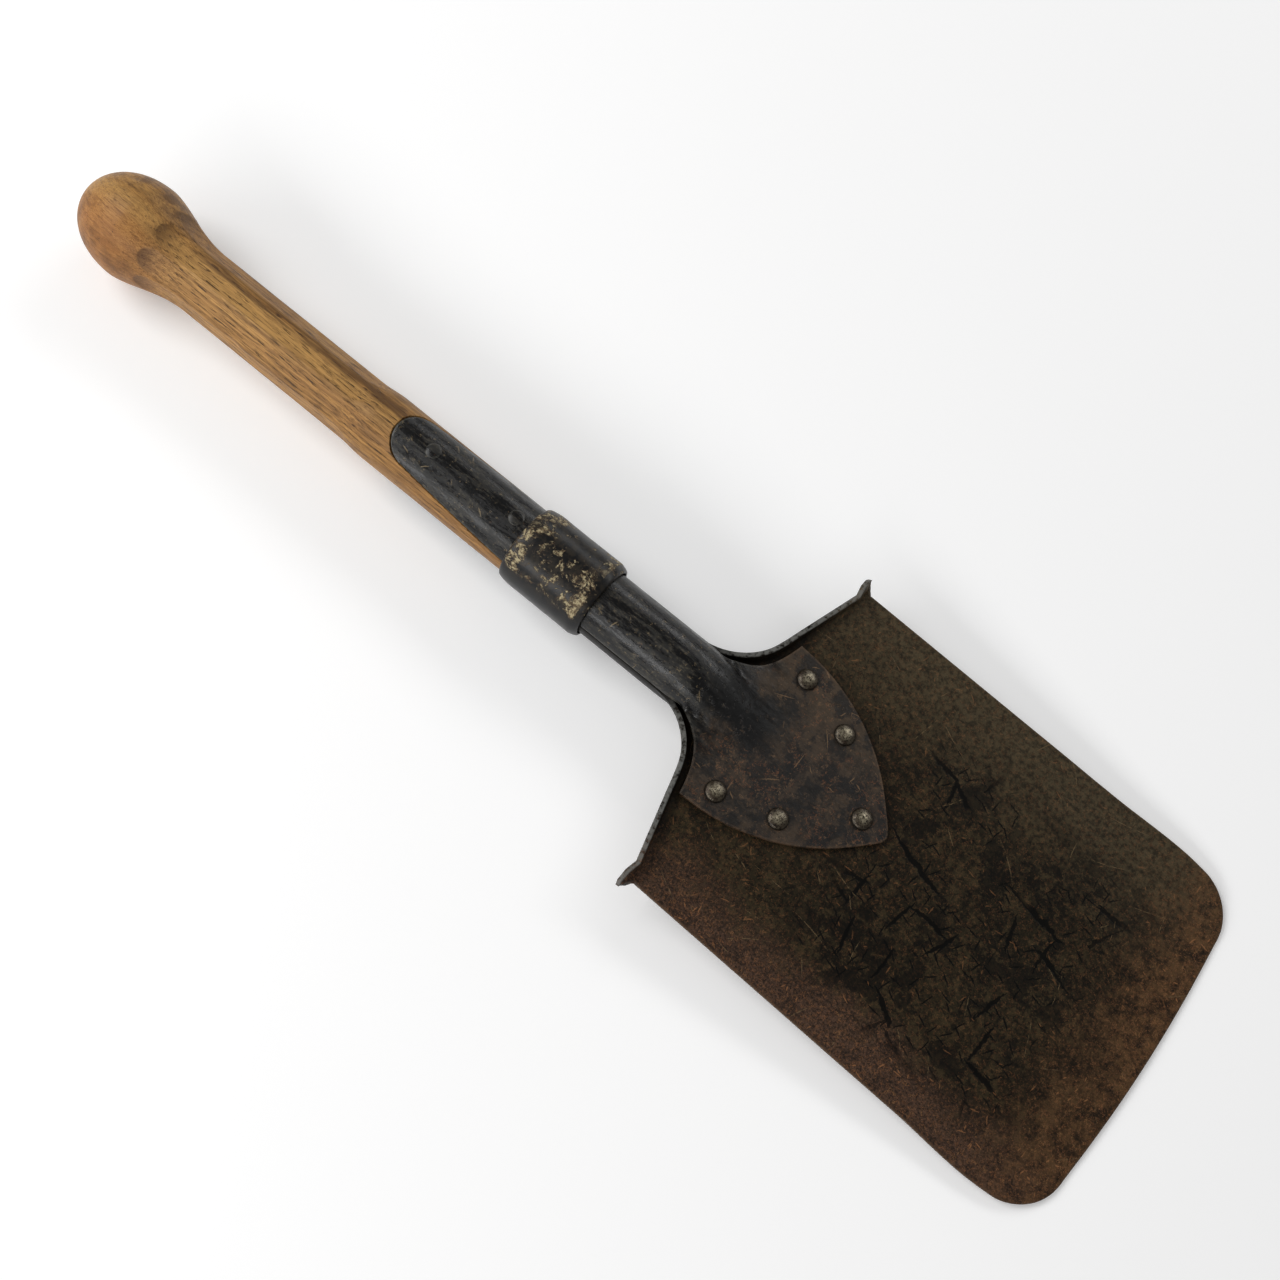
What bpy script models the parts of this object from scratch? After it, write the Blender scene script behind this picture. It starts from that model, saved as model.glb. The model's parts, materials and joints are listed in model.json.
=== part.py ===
"""Camp shovel: knobbed wooden handle, forged blade with a rear strap, and a riveted front strap.

The shovel is laid out along +X, from the knob's end at x = 0 to the cutting edge, with the
handle's axis on y = z = 0 and the blade's front face towards +Z.  lay_down() then puts the
finished tool on its back, as it lies on the ground, resting on the knob and the cutting edge.
All sizes are in metres.
"""
import math

import bmesh
import bpy
from mathutils import Matrix, Vector

# ------------------------------------------------------------------ driving dimensions
GAP = 0.0003                # air left between pieces that touch on the real tool

# handle, from the knob's end
KNOB_DIAMETER = 0.0436
KNOB_BELLY = 0.0285         # knob's end to its widest place
KNOB_LENGTH = 0.0640        # knob's end to the start of the grip
GRIP_DIAMETER = 0.0284
GRIP_LENGTH = 0.0860
SWELL_LENGTH = 0.0120       # over which the grip grows into the thicker shaft
SHAFT_DIAMETER = 0.0300     # where the straps are let in
FLAT_HALF_ANGLE = 19.0      # half of what each of the eight flats takes of the grip, degrees
SCOOP_END = 0.0410          # knob's end to the round scoops where the flats run out
SCOOP_LENGTH = 0.0070
WOOD_END_TAPER = 0.0240     # rounded end of the wood, hidden in the neck

# straps, from the grip outwards
STRAP_TIP_SETBACK = 0.0200  # end of the grip to the straps' rounded tips
STRAP_REACH = 0.0668        # straps' tips to the collar
STRAP_DIAMETER = 0.0298     # over both straps, where they lie in the wood
STRAP_THICKNESS = 0.0018
STRAP_TIP_ANGLE = 50.0      # half angle that a strap covers behind its tip, degrees
STRAP_COLLAR_ANGLE = 72.0   # half angle at the collar
STRAP_TIP_ROUND = 0.0125    # length of the rounded tip
STRAP_TIP_MERGE = 0.0020    # further on, where the stations are straight again

# collar and neck
COLLAR_LENGTH = 0.0394
COLLAR_WALL = 0.0021
COLLAR_ROUND = 0.0075       # length of the swaged shoulder at the handle's side
COLLAR_BAND = 0.0032        # narrow filed band at the blade's side
COLLAR_BAND_DROP = 0.00075  # how much lower the band's end lies
COLLAR_CHAMFER = 0.00075
NECK_LENGTH = 0.0383        # collar to the start of the flare
NECK_DIAMETER = 0.0286
SEAM_ANGLE = 78.0           # half angle that the front strap covers on the neck

# blade
BLADE_THICKNESS = 0.0020
BLADE_REACH = 0.2350        # start of the flare to the cutting edge
BLADE_TOP_WIDTH = 0.1544
BLADE_TIP_WIDTH = 0.1576
BLADE_SET_BACK = 0.0022     # handle's axis to the blade's front face, at the shoulders
BLADE_PITCH = 4.0           # how far the blade leans back from the handle's axis, degrees
FLARE_RADIUS = 0.0270
SHOULDER_SLOPE = 16.0       # how far the shoulders fall away from square, degrees
FLANGE_HEIGHT = 0.0048      # above the blade's front face
FLANGE_FILLET = 0.0029      # inside bend between the blade and its flange
FLANGE_ANGLE = 86.0         # how steeply the flange stands on the blade, degrees
EAR_OUT = 0.0052            # flange's tip beyond the blade's side
EAR_RISE = 0.0034           # flange's tip above the top of the blade's side
CORNER_RADIUS = 0.0220
EDGE_BOW = 0.0024           # how far the cutting edge bows out between its corners
EDGE_HOLLOW = 0.0004        # how much higher the edge lies in its middle than at its corners
EDGE_GRIND = 0.0014         # width of the ground edge
EDGE_THINNING = 0.35        # share of the thickness left at the edge
TROUGH_FADE = 0.0720        # over which the rear trough runs out into the blade

# shield at the lower end of the front strap
SHIELD_WIDTH = 0.0794
SHIELD_LENGTH = 0.0725      # its two corners to its point
SHIELD_CLEARANCE = 0.0003   # between the shield's upper edge and the bend of the flange
SHIELD_POINT = 0.0060       # width of the shield's blunt point
BULGE_FADE = 0.0500         # over which the front strap flattens into the shield
BULGE_NARROWING = 0.52      # share of its width left where a bulge or trough runs out

# rivets
RIVET_HEAD = 0.0090
RIVET_HEAD_HEIGHT = 0.0024
RIVET_SHANK = 0.0050
STRAP_RIVET_HEAD = 0.0068
STRAP_RIVET_HEIGHT = 0.0007
UPPER_RIVET_SETBACK = 0.0184    # straps' tips to the upper strap rivet
LOWER_RIVET_SETBACK = 0.0056    # lower strap rivet to the collar
SHIELD_RIVET_DROPS = (0.0100, 0.0350, 0.0602)   # rows of rivets below the shield's corners
SHIELD_RIVET_HALF_SPANS = (0.0300, 0.0222, 0.0)

# mesh resolution
SHEET_ROWS = 10             # rows from a sheet's centre line to its rim
ROUND_STEPS = 40            # sides of the turned pieces
RIVET_STEPS = 20

# ------------------------------------------------------------------ places that follow
GRIP_END = KNOB_LENGTH + GRIP_LENGTH
STRAP_TIP = GRIP_END + STRAP_TIP_SETBACK
COLLAR_START = STRAP_TIP + STRAP_REACH
COLLAR_END = COLLAR_START + COLLAR_LENGTH
FLARE_START = COLLAR_END + NECK_LENGTH
BLADE_END = FLARE_START + BLADE_REACH
UPPER_RIVET = STRAP_TIP + UPPER_RIVET_SETBACK
LOWER_RIVET = COLLAR_START - LOWER_RIVET_SETBACK
TURN = math.radians(90.0 - SHOULDER_SLOPE)      # angle the flange turns through in the flare
FLARE_CENTRE_Y = NECK_DIAMETER / 2 + FLARE_RADIUS
SHOULDER_X = FLARE_START + FLARE_RADIUS * math.sin(TURN)
SHOULDER_Y = FLARE_CENTRE_Y - FLARE_RADIUS * math.cos(TURN)
SIDE_TOP = (SHOULDER_X + (BLADE_TOP_WIDTH / 2 - SHOULDER_Y) * math.tan(math.radians(SHOULDER_SLOPE))
            + EAR_RISE / 2)
EAR_ROOT = BLADE_TOP_WIDTH / 2 - 0.0060      # where the shoulder's flange starts to drop
SHIELD_CORNER = (SHOULDER_X + BLADE_THICKNESS + FLANGE_FILLET + SHIELD_CLEARANCE
                 + (SHIELD_WIDTH / 2 - SHOULDER_Y) * math.tan(math.radians(SHOULDER_SLOPE)))
SHEET_MID = BLADE_THICKNESS / 2
STRAP_MID = STRAP_THICKNESS / 2


# ------------------------------------------------------------------ small helpers
def mix(a, b, t):
    return a + (b - a) * t


def ramp(value, start, end):
    """0 before start, 1 after end, and a smooth S between."""
    t = min(1.0, max(0.0, (value - start) / (end - start)))
    return t * t * (3.0 - 2.0 * t)


def material(name, colour, roughness, metallic):
    mat = bpy.data.materials.new(name)
    mat.use_nodes = True
    shader = mat.node_tree.nodes["Principled BSDF"]
    shader.inputs["Base Color"].default_value = (*colour, 1.0)
    shader.inputs["Roughness"].default_value = roughness
    shader.inputs["Metallic"].default_value = metallic
    mat.diffuse_color = (*colour, 1.0)
    return mat


def new_object(name, mesh, mat):
    obj = bpy.data.objects.new(name, mesh)
    bpy.context.collection.objects.link(obj)
    if mat:
        mesh.materials.append(mat)
    return obj


def mesh_from(name, points, faces, smooth_angle=35.0):
    mesh = bpy.data.meshes.new(name)
    mesh.from_pydata(points, [], faces)
    bm = bmesh.new()
    bm.from_mesh(mesh)
    bmesh.ops.recalc_face_normals(bm, faces=bm.faces)
    bm.to_mesh(mesh)
    bm.free()
    mesh.shade_smooth()
    mesh.set_sharp_from_angle(angle=math.radians(smooth_angle))
    return mesh


def as_cutter(obj):
    obj.hide_render = True
    obj.display_type = 'WIRE'
    return obj


def cut(obj, cutter):
    """Takes the cutter's solid out of the object."""
    boolean = obj.modifiers.new("cut_" + cutter.name, 'BOOLEAN')
    boolean.operation = 'DIFFERENCE'
    boolean.solver = 'EXACT'
    boolean.object = cutter


def turned(name, profile, mat, steps=ROUND_STEPS, centre=Vector((0, 0, 0)), axis='X'):
    """Turns a profile of (along, radius) pairs about the given axis through centre.

    A radius of 0 closes that end; a profile that comes back to its start makes a ring.
    """
    ring = profile[0] == profile[-1]
    rows = profile[:-1] if ring else profile
    points, index = [], []
    for along, radius in rows:
        row = []
        for k in range(1 if radius == 0.0 else steps):
            a = 2.0 * math.pi * k / steps
            across, up = radius * math.sin(a), radius * math.cos(a)
            local = Vector((along, across, up)) if axis == 'X' else Vector((up, across, along))
            row.append(len(points))
            points.append(centre + local)
        index.append(row)
    faces = []
    pairs = list(zip(index, index[1:] + index[:1] if ring else index[1:]))
    for lower, upper in pairs:
        for k in range(steps):
            n = (k + 1) % steps
            quad = [lower[k % len(lower)], lower[n % len(lower)],
                    upper[n % len(upper)], upper[k % len(upper)]]
            faces.append(tuple(dict.fromkeys(quad)))
    return new_object(name, mesh_from(name, points, faces), mat)


def sheet(name, stations, thickness, mat, thin_rim=None):
    """A steel sheet, symmetrical about y = 0.

    Each station is a row of points from the centre line (y = 0) to the rim.  Solidify gives
    the sheet its thickness, half on each side.  thin_rim holds a factor for each station's
    rim, so that an edge can be ground thinner.
    """
    count = len(stations[0])
    width = 2 * count - 1
    points, faces = [], []
    for row in stations:
        mirrored = [(p[0], -p[1], p[2]) for p in reversed(row[1:])]
        points.extend(mirrored + [tuple(p) for p in row])
    for i in range(len(stations) - 1):
        for j in range(width - 1):
            a = i * width + j
            faces.append((a, a + 1, a + width + 1, a + width))
    obj = new_object(name, mesh_from(name, points, faces), mat)
    solid = obj.modifiers.new("thickness", 'SOLIDIFY')
    solid.thickness = thickness
    solid.offset = 0.0
    solid.use_even_offset = False
    if thin_rim:
        group = obj.vertex_groups.new(name="thickness")
        last = len(stations) - 1
        for i in range(len(stations)):
            for j in range(width):
                on_rim = j in (0, width - 1) or i == last
                weight = thin_rim[i] if on_rim else 1.0
                group.add([i * width + j], weight, 'REPLACE')
        solid.vertex_group = group.name
    return obj


# ------------------------------------------------------------------ shapes shared by the straps
def strap_radius(x):
    """Outer radius over the straps: a little less on the neck than where they lie in wood."""
    return mix(STRAP_DIAMETER, NECK_DIAMETER, ramp(x, COLLAR_START, COLLAR_END)) / 2


def strap_angle(x, neck_angle):
    """Half angle that a strap covers at x, in radians."""
    grow = min(1.0, max(0.0, (x - STRAP_TIP - STRAP_TIP_ROUND) / (STRAP_REACH - STRAP_TIP_ROUND)))
    above = mix(STRAP_TIP_ANGLE, STRAP_COLLAR_ANGLE, grow)
    return math.radians(mix(above, neck_angle, ramp(x, COLLAR_START, COLLAR_END)))


def rear_neck_angle():
    """The rear strap covers what the front one leaves of the neck, less a narrow seam."""
    return 180.0 - SEAM_ANGLE - math.degrees(1.5 * GAP / (NECK_DIAMETER / 2 - SHEET_MID))


def tube_row(xs, angle, radius_at, side):
    """Points on a tube, from its crown (side +1) or its keel (-1) round to the half angle."""
    row = []
    for x, w in xs:
        a = angle(x) * w
        row.append((x, radius_at(x) * math.sin(a), side * radius_at(x) * math.cos(a)))
    return row


def strap_stations(angle, radius_at, side, end_x, extra=0.0):
    """Stations of a strap from its rounded tip to end_x; extra grows the tip outwards."""
    shares = [j / SHEET_ROWS for j in range(SHEET_ROWS + 1)]
    tip = STRAP_TIP - extra
    round_end = STRAP_TIP + STRAP_TIP_ROUND + STRAP_TIP_MERGE
    rows = []
    tip_steps = 5
    for i in range(tip_steps):
        t = i / tip_steps
        starts = [tip + (STRAP_TIP_ROUND + extra) * (1.0 - math.sqrt(1.0 - w * w)) for w in shares]
        xs = [(mix(start, round_end, t), w) for start, w in zip(starts, shares)]
        rows.append(tube_row(xs, angle, radius_at, side))
    straight = (COLLAR_START - round_end) / 3
    places = [round_end + k * straight for k in range(3)]
    places += [mix(COLLAR_START, COLLAR_END, k / 4) for k in range(5)]
    places.append(end_x)
    for x in places:
        rows.append(tube_row([(x, w) for w in shares], angle, radius_at, side))
    return rows


def blade_plane(x):
    """Height of the blade's middle surface; its set-back is measured at the shoulders."""
    fall = (x - SHOULDER_X) * math.tan(math.radians(BLADE_PITCH))
    return -BLADE_SET_BACK - SHEET_MID - fall


def fan_row(centre_x, knee, rim, shares):
    """Plan positions from (centre_x, 0) to the rim along a curve that bends at the knee."""
    row = []
    for t in shares:
        x = (1 - t) ** 2 * centre_x + 2 * t * (1 - t) * knee[0] + t * t * rim[0]
        y = 2 * t * (1 - t) * knee[1] + t * t * rim[1]
        row.append((x, y))
    return row


def narrowed(radius, x, fade):
    """Half width of a bulge or trough at x: it narrows to a rounded point as it runs out."""
    return radius * mix(1.0, BULGE_NARROWING, ramp(x, FLARE_START + 0.15 * fade, FLARE_START + fade))


def front_bulge(y, radius, merge):
    """Cross-section of the front bulge: 1 on the centre line and 0 at the seam.

    merge 0 gives the half tube itself, 1 a softer swelling that melts into a flat sheet.
    """
    seam = math.radians(SEAM_ANGLE)
    tube = math.sqrt(max(0.0, radius ** 2 - y ** 2)) - radius * math.cos(seam)
    tube = max(0.0, tube / (radius * (1.0 - math.cos(seam))))
    swell = max(0.0, 1.0 - (y / (1.12 * radius)) ** 2) ** 1.6
    return mix(tube, swell, merge)


def rear_trough(y, radius, merge):
    """The same for the trough on the back, which is half a circle on the neck."""
    tube = math.sqrt(max(0.0, 1.0 - (y / radius) ** 2))
    swell = max(0.0, 1.0 - (y / (1.15 * radius)) ** 2) ** 1.6
    return mix(tube, swell, merge)


# ------------------------------------------------------------------ blade
def keel_height(x):
    """Height of the rear trough's middle line, from the neck until it meets the blade."""
    radius = NECK_DIAMETER / 2 - SHEET_MID
    run_out = ramp(x, FLARE_START + 0.006, FLARE_START + TROUGH_FADE)
    return mix(-radius, blade_plane(x), run_out)


def flare_rim(angle):
    """A place on the flange's foot in the flare, and the way from there into the blade."""
    radius = FLARE_RADIUS + SHEET_MID
    inward = (math.sin(angle), -math.cos(angle))
    return (FLARE_START + radius * inward[0], FLARE_CENTRE_Y + radius * inward[1]), inward


def shoulder_rim(y):
    """The same on the straight shoulder, at a distance y from the middle."""
    foot, inward = flare_rim(TURN)
    x = foot[0] + (y - foot[1]) * math.tan(math.radians(SHOULDER_SLOPE))
    return (x, y), inward


def wall_top(rim, rise, merge):
    """Height of the wall's middle line at the rim.

    On the neck it stops short of the front strap's seam, and in the flare it stays below that
    strap until it stands clear of the strap's outer face.
    """
    neck_top = (NECK_DIAMETER / 2 - SHEET_MID) * math.sin(math.radians(rear_neck_angle() - 90.0))
    top = mix(neck_top, blade_plane(rim[0]) + rise, merge)
    seam = math.radians(SEAM_ANGLE)
    strap_outside = NECK_DIAMETER / 2 * math.sin(seam)
    strap_underside = (NECK_DIAMETER / 2 - STRAP_THICKNESS) * math.cos(seam)
    if rim[1] - SHEET_MID < strap_outside + GAP:
        lean = SHEET_MID * math.cos(seam)
        top = min(top, strap_underside - GAP - lean * ramp(merge, 0.0, 0.2))
    return top


def blade_station(centre_x, knee, rim, inward, merge, wall, lift):
    """One station of the blade: trough, flat, fillet, and the flange's wall.

    inward is square to the rim, into the blade.  merge goes from 0 on the round neck to 1 on
    the flat blade.  The wall is the last strip, and lift turns it from lying flat (0) to
    standing up (90 degrees).
    """
    radius = NECK_DIAMETER / 2 - SHEET_MID
    full = FLANGE_HEIGHT + SHEET_MID
    out = wall * math.cos(lift)
    foot = (rim[0] + inward[0] * out, rim[1] + inward[1] * out)
    bend = math.sin(lift) * wall / full
    shares = [math.sin(math.radians(90.0 * j / (SHEET_ROWS - 1))) for j in range(SHEET_ROWS)]
    row = []
    for x, y in fan_row(centre_x, knee, foot, shares):
        base = mix(0.0, blade_plane(x), merge)
        distance = (x - foot[0]) * inward[0] + (y - foot[1]) * inward[1]
        into = min(FLANGE_FILLET, max(0.0, FLANGE_FILLET - distance))
        rise = FLANGE_FILLET - math.sqrt(FLANGE_FILLET ** 2 - into ** 2)
        hollow = (base - keel_height(x)) * rear_trough(y, narrowed(radius, x, TROUGH_FADE), merge)
        row.append((x, y, base - hollow + merge * rise * bend))
    row.append((rim[0], rim[1], wall_top(rim, wall * math.sin(lift), merge)))
    return row


def edge_knee(centre_x, rim, drop):
    """The bend of a station that comes up to the blade's shoulder, ear or side."""
    return mix(rim[0], centre_x, 0.42), rim[1] - drop


def flare_stations():
    """From the round neck along the flare and the shoulder to the root of the flange's tip."""
    full = FLANGE_HEIGHT + SHEET_MID
    upright = math.radians(FLANGE_ANGLE)
    rows = []
    steps = 9
    for k in range(1, steps + 1):
        share = k / steps
        angle = TURN * share
        rim, inward = flare_rim(angle)
        reach = rim[1] * (0.5 - 0.3 * share ** 2) / math.cos(angle)
        knee = (rim[0] + inward[0] * reach, rim[1] + inward[1] * reach)
        merge = ramp(angle, 0.0, math.radians(52.0))
        rows.append(blade_station(knee[0], knee, rim, inward, merge, full, upright))
    steps = 4
    for k in range(1, steps + 1):
        rim, inward = shoulder_rim(mix(flare_rim(TURN)[0][1], EAR_ROOT, k / steps))
        centre_x = knee[0] + 0.0022 * k
        bend = edge_knee(centre_x, rim, 0.009)
        rows.append(blade_station(centre_x, bend, rim, inward, 1.0, full, upright))
    return rows


def ear_stations(start_x):
    """The flange's tip, which stands out past the blade's side, and the way back under it.

    Each place has its x and y, the direction into the blade, how far its station bends down,
    the wall's share of the flange's full height, and how steeply the wall stands.
    """
    full = FLANGE_HEIGHT + SHEET_MID
    half = BLADE_TOP_WIDTH / 2
    places = (
        (SIDE_TOP - 1.05 * EAR_RISE, half - 0.0008, 62.0, 0.0140, 0.92, 76.0),
        (SIDE_TOP - 1.08 * EAR_RISE, half + 0.70 * EAR_OUT, 45.0, 0.0186, 0.62, 58.0),
        (SIDE_TOP - 0.90 * EAR_RISE, half + EAR_OUT, 25.0, 0.0220, 0.45, 42.0),
        (SIDE_TOP - 0.28 * EAR_RISE, half + 0.45 * EAR_OUT, 12.0, 0.0220, 0.30, 15.0),
    )
    rows = []
    for k, (x, y, turn, drop, share, lift) in enumerate(places):
        inward = (math.sin(math.radians(turn)), -math.cos(math.radians(turn)))
        centre_x = start_x + 0.0020 * (k + 1)
        bend = edge_knee(centre_x, (x, y), drop)
        rows.append(blade_station(centre_x, bend, (x, y), inward, 1.0, share * full,
                                  math.radians(lift)))
    return rows


def edge_x(y):
    """The cutting edge, bowed out in the middle."""
    corner = BLADE_TIP_WIDTH / 2 - CORNER_RADIUS
    return BLADE_END - EDGE_BOW * (y / corner) ** 2


def lower_stations(start_x):
    """Down the blade's side, round its corner, and along the cutting edge."""
    top, tip = BLADE_TOP_WIDTH / 2, BLADE_TIP_WIDTH / 2
    corner_y = tip - CORNER_RADIUS
    corner_x = edge_x(corner_y) - CORNER_RADIUS
    last_centre = BLADE_END - 0.3 * CORNER_RADIUS
    rows = []
    steps = 4
    for k in range(steps + 1):
        share = k / steps
        rim = (mix(SIDE_TOP + 0.0012, corner_x, share), mix(top, tip, share))
        centre_x = mix(start_x, corner_x + 0.001, share)
        bend = edge_knee(centre_x, rim, 0.023)
        rows.append(blade_station(centre_x, bend, rim, (0.0, -1.0), 1.0, EDGE_GRIND, 0.0))
    steps = 6
    for k in range(1, steps):
        a = math.pi / 2 * k / steps
        outward = (math.sin(a), math.cos(a))
        rim = (corner_x + CORNER_RADIUS * outward[0], corner_y + CORNER_RADIUS * outward[1])
        centre_x = mix(corner_x + 0.001, last_centre, k / (steps - 1))
        bend = (centre_x, 0.75 * rim[1])
        inward = (-outward[0], -outward[1])
        rows.append(blade_station(centre_x, bend, rim, inward, 1.0, EDGE_GRIND, 0.0))
    return rows + edge_rows(corner_x, corner_y)


def edge_rows(corner_x, corner_y):
    """The cutting edge and the row where its grinding starts, both worn a little hollow."""
    inner_share = 0.93          # of the edge's half width, for the last point but one
    arc_left = 0.06             # angle of the corner's arc that the ground row still turns, radians
    shares = [math.sin(math.radians(90.0 * j / (SHEET_ROWS - 1))) for j in range(SHEET_ROWS)]
    ys = [inner_share * corner_y * w for w in shares] + [corner_y]
    last = [(edge_x(y), y) for y in ys]
    ground = [(x - EDGE_GRIND, y) for x, y in last[:-1]]
    ground.append((corner_x + CORNER_RADIUS * math.cos(arc_left),
                   corner_y + CORNER_RADIUS * math.sin(arc_left)))
    levels = (blade_plane(BLADE_END - EDGE_GRIND), blade_plane(BLADE_END))
    rows = []
    for row, level in zip((ground, last), levels):
        rows.append([(x, y, level + EDGE_HOLLOW * (1.0 - (y / row[-1][1]) ** 2)) for x, y in row])
    return rows


def make_blade(mat):
    """Blade, flange, rear trough and rear strap, forged from one plate."""
    neck_angle = rear_neck_angle()
    rows = strap_stations(
        lambda x: strap_angle(x, neck_angle),
        lambda x: strap_radius(x) - SHEET_MID, -1, mix(COLLAR_END, FLARE_START, 0.5))
    rim, inward = flare_rim(0.0)
    rows.append(blade_station(rim[0], (rim[0], rim[1] / 2), rim, inward, 0.0, 0.0, 0.0))
    rows += flare_stations()
    rows += ear_stations(rows[-1][0][0])
    sharp_from = len(rows)
    rows += lower_stations(rows[-1][0][0] + 0.004)
    rim = [1.0 if i < sharp_from else EDGE_THINNING for i in range(len(rows))]
    return sheet("blade", rows, BLADE_THICKNESS, mat, thin_rim=rim)


# ------------------------------------------------------------------ front strap and shield
def shield_plane(x):
    """Height of the shield's middle surface, a gap above the blade's front face."""
    return blade_plane(x) + SHEET_MID + GAP + STRAP_MID


def crown_height(x):
    """Height of the front strap's middle line until it meets the shield."""
    radius = NECK_DIAMETER / 2 - STRAP_MID
    run_out = ramp(x, FLARE_START + 0.001, FLARE_START + BULGE_FADE)
    return mix(radius, shield_plane(x), run_out)


def shield_station(centre_x, knee, rim, merge):
    radius = NECK_DIAMETER / 2 - STRAP_MID
    seam_height = radius * math.cos(math.radians(SEAM_ANGLE))
    shares = [math.sin(math.radians(SEAM_ANGLE * j / SHEET_ROWS)) for j in range(SHEET_ROWS + 1)]
    row = []
    for x, y in fan_row(centre_x, knee, rim, [s / shares[-1] for s in shares]):
        base = mix(seam_height, shield_plane(x), merge)
        half_width = narrowed(radius, x, BULGE_FADE)
        z = base + (crown_height(x) - base) * front_bulge(y, half_width, merge)
        row.append((x, y, z))
    return row


def shield_stations():
    """The strap's rim dips inside the flange, follows it to the shield's corner, and the
    shield's side runs in an arc to its point."""
    radius = NECK_DIAMETER / 2 - STRAP_MID
    seam_y = radius * math.sin(math.radians(SEAM_ANGLE))
    inner = FLARE_RADIUS + BLADE_THICKNESS
    first = math.radians(23.5)
    first_reach = (FLARE_CENTRE_Y - seam_y) / math.cos(first)
    rows = []
    dip = FLARE_START + first_reach * math.sin(first)
    for x in (FLARE_START, mix(FLARE_START, dip, 0.5), dip):
        rows.append(shield_station(x, (x, seam_y / 2), (x, seam_y), 0.0))
    steps = 7
    for k in range(1, steps + 1):
        t = k / steps
        angle = mix(first, TURN, t)
        reach = mix(first_reach, inner + FLANGE_FILLET + SHIELD_CLEARANCE, ramp(t, 0.0, 0.6))
        rim = (FLARE_START + reach * math.sin(angle), FLARE_CENTRE_Y - reach * math.cos(angle))
        length = rim[1] * mix(0.5, 0.28, t) / math.cos(angle)
        knee_x = max(rows[-1][0][0] + 0.001, rim[0] + length * math.sin(angle))
        knee = (knee_x, rim[1] * mix(0.5, 0.6, t))
        rows.append(shield_station(knee_x, knee, rim, ramp(t, 0.0, 0.75)))
    half = SHIELD_WIDTH / 2
    arc = (SHIELD_LENGTH ** 2 + half ** 2) / (2 * half)
    sweep = math.asin(SHIELD_LENGTH / arc)
    start_x = rows[-1][0][0] + 0.002
    steps = 7
    for k in range(steps):
        t = k / steps
        a = sweep * t
        rim = (SHIELD_CORNER + arc * math.sin(a), half - arc * (1.0 - math.cos(a)))
        centre_x = mix(start_x, SHIELD_CORNER + SHIELD_LENGTH, t)
        knee = (centre_x, 0.6 * rim[1])
        rows.append(shield_station(centre_x, knee, rim, 1.0))
    return rows


def shield_point(rows):
    """Closes the shield: its last station is the point's short blunt edge."""
    tip_x = SHIELD_CORNER + SHIELD_LENGTH
    half = SHIELD_POINT / 2
    row = []
    for j in range(SHEET_ROWS + 1):
        y = half * j / SHEET_ROWS
        x = tip_x - 0.0012 * (y / half) ** 2
        row.append((x, y, shield_plane(x)))
    return rows + [row]


def make_front_strap(mat):
    rows = strap_stations(
        lambda x: strap_angle(x, SEAM_ANGLE),
        lambda x: strap_radius(x) - STRAP_MID, 1, mix(COLLAR_END, FLARE_START, 0.5))
    rows += shield_point(shield_stations())
    return sheet("front_strap", rows, STRAP_THICKNESS, mat)


# ------------------------------------------------------------------ collar
def make_collar(mat):
    """A short steel tube driven over both straps; its upper end is swaged in."""
    bore = STRAP_DIAMETER / 2 + GAP
    outer = bore + COLLAR_WALL
    lip = bore + 0.35 * COLLAR_WALL
    profile = [(COLLAR_START, bore), (COLLAR_START, lip)]
    steps = 6
    for k in range(1, steps + 1):
        a = math.pi / 2 * k / steps
        profile.append((COLLAR_START + COLLAR_ROUND * (1.0 - math.cos(a)),
                        mix(lip, outer, math.sin(a))))
    low = outer - COLLAR_BAND_DROP
    profile += [(COLLAR_END - COLLAR_BAND, outer), (COLLAR_END - COLLAR_CHAMFER, low),
                (COLLAR_END, low - COLLAR_CHAMFER), (COLLAR_END, bore), (COLLAR_START, bore)]
    return turned("collar", profile, mat)


# ------------------------------------------------------------------ handle
def handle_radius(x):
    """Radius of the turned wood, before the flats and the straps' beds are cut."""
    knob, grip, shaft = KNOB_DIAMETER / 2, GRIP_DIAMETER / 2, SHAFT_DIAMETER / 2
    if x < KNOB_BELLY:
        return knob * math.sqrt(max(0.0, 1.0 - ((KNOB_BELLY - x) / KNOB_BELLY) ** 2.2))
    if x < KNOB_LENGTH:
        t = (x - KNOB_BELLY) / (KNOB_LENGTH - KNOB_BELLY)
        return mix(knob, grip, t ** 1.55 * (2.55 - 1.55 * t) if t < 1 else 1.0)
    core = NECK_DIAMETER / 2 - BLADE_THICKNESS - 2 * GAP
    wood = mix(grip, shaft, ramp(x, GRIP_END, GRIP_END + SWELL_LENGTH))
    wood = mix(wood, core, ramp(x, COLLAR_START - 0.002, COLLAR_END - 0.006))
    return wood


def flat_half_angle(x):
    """Half angle of each flat: a round scoop at the knob, and nothing on the shaft."""
    share = min(1.0, max(0.0, (x - SCOOP_END) / SCOOP_LENGTH))
    scoop = math.sqrt(share * (2.0 - share))
    left = 1.0 - ramp(x, GRIP_END - SWELL_LENGTH / 3, GRIP_END + SWELL_LENGTH)
    return math.radians(FLAT_HALF_ANGLE) * scoop * left


def wood_radius(x, angle):
    step = math.pi / 4
    from_flat = (angle + step / 2) % step - step / 2
    level = handle_radius(x) * math.cos(flat_half_angle(x))
    return min(handle_radius(x), level / math.cos(from_flat))


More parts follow.
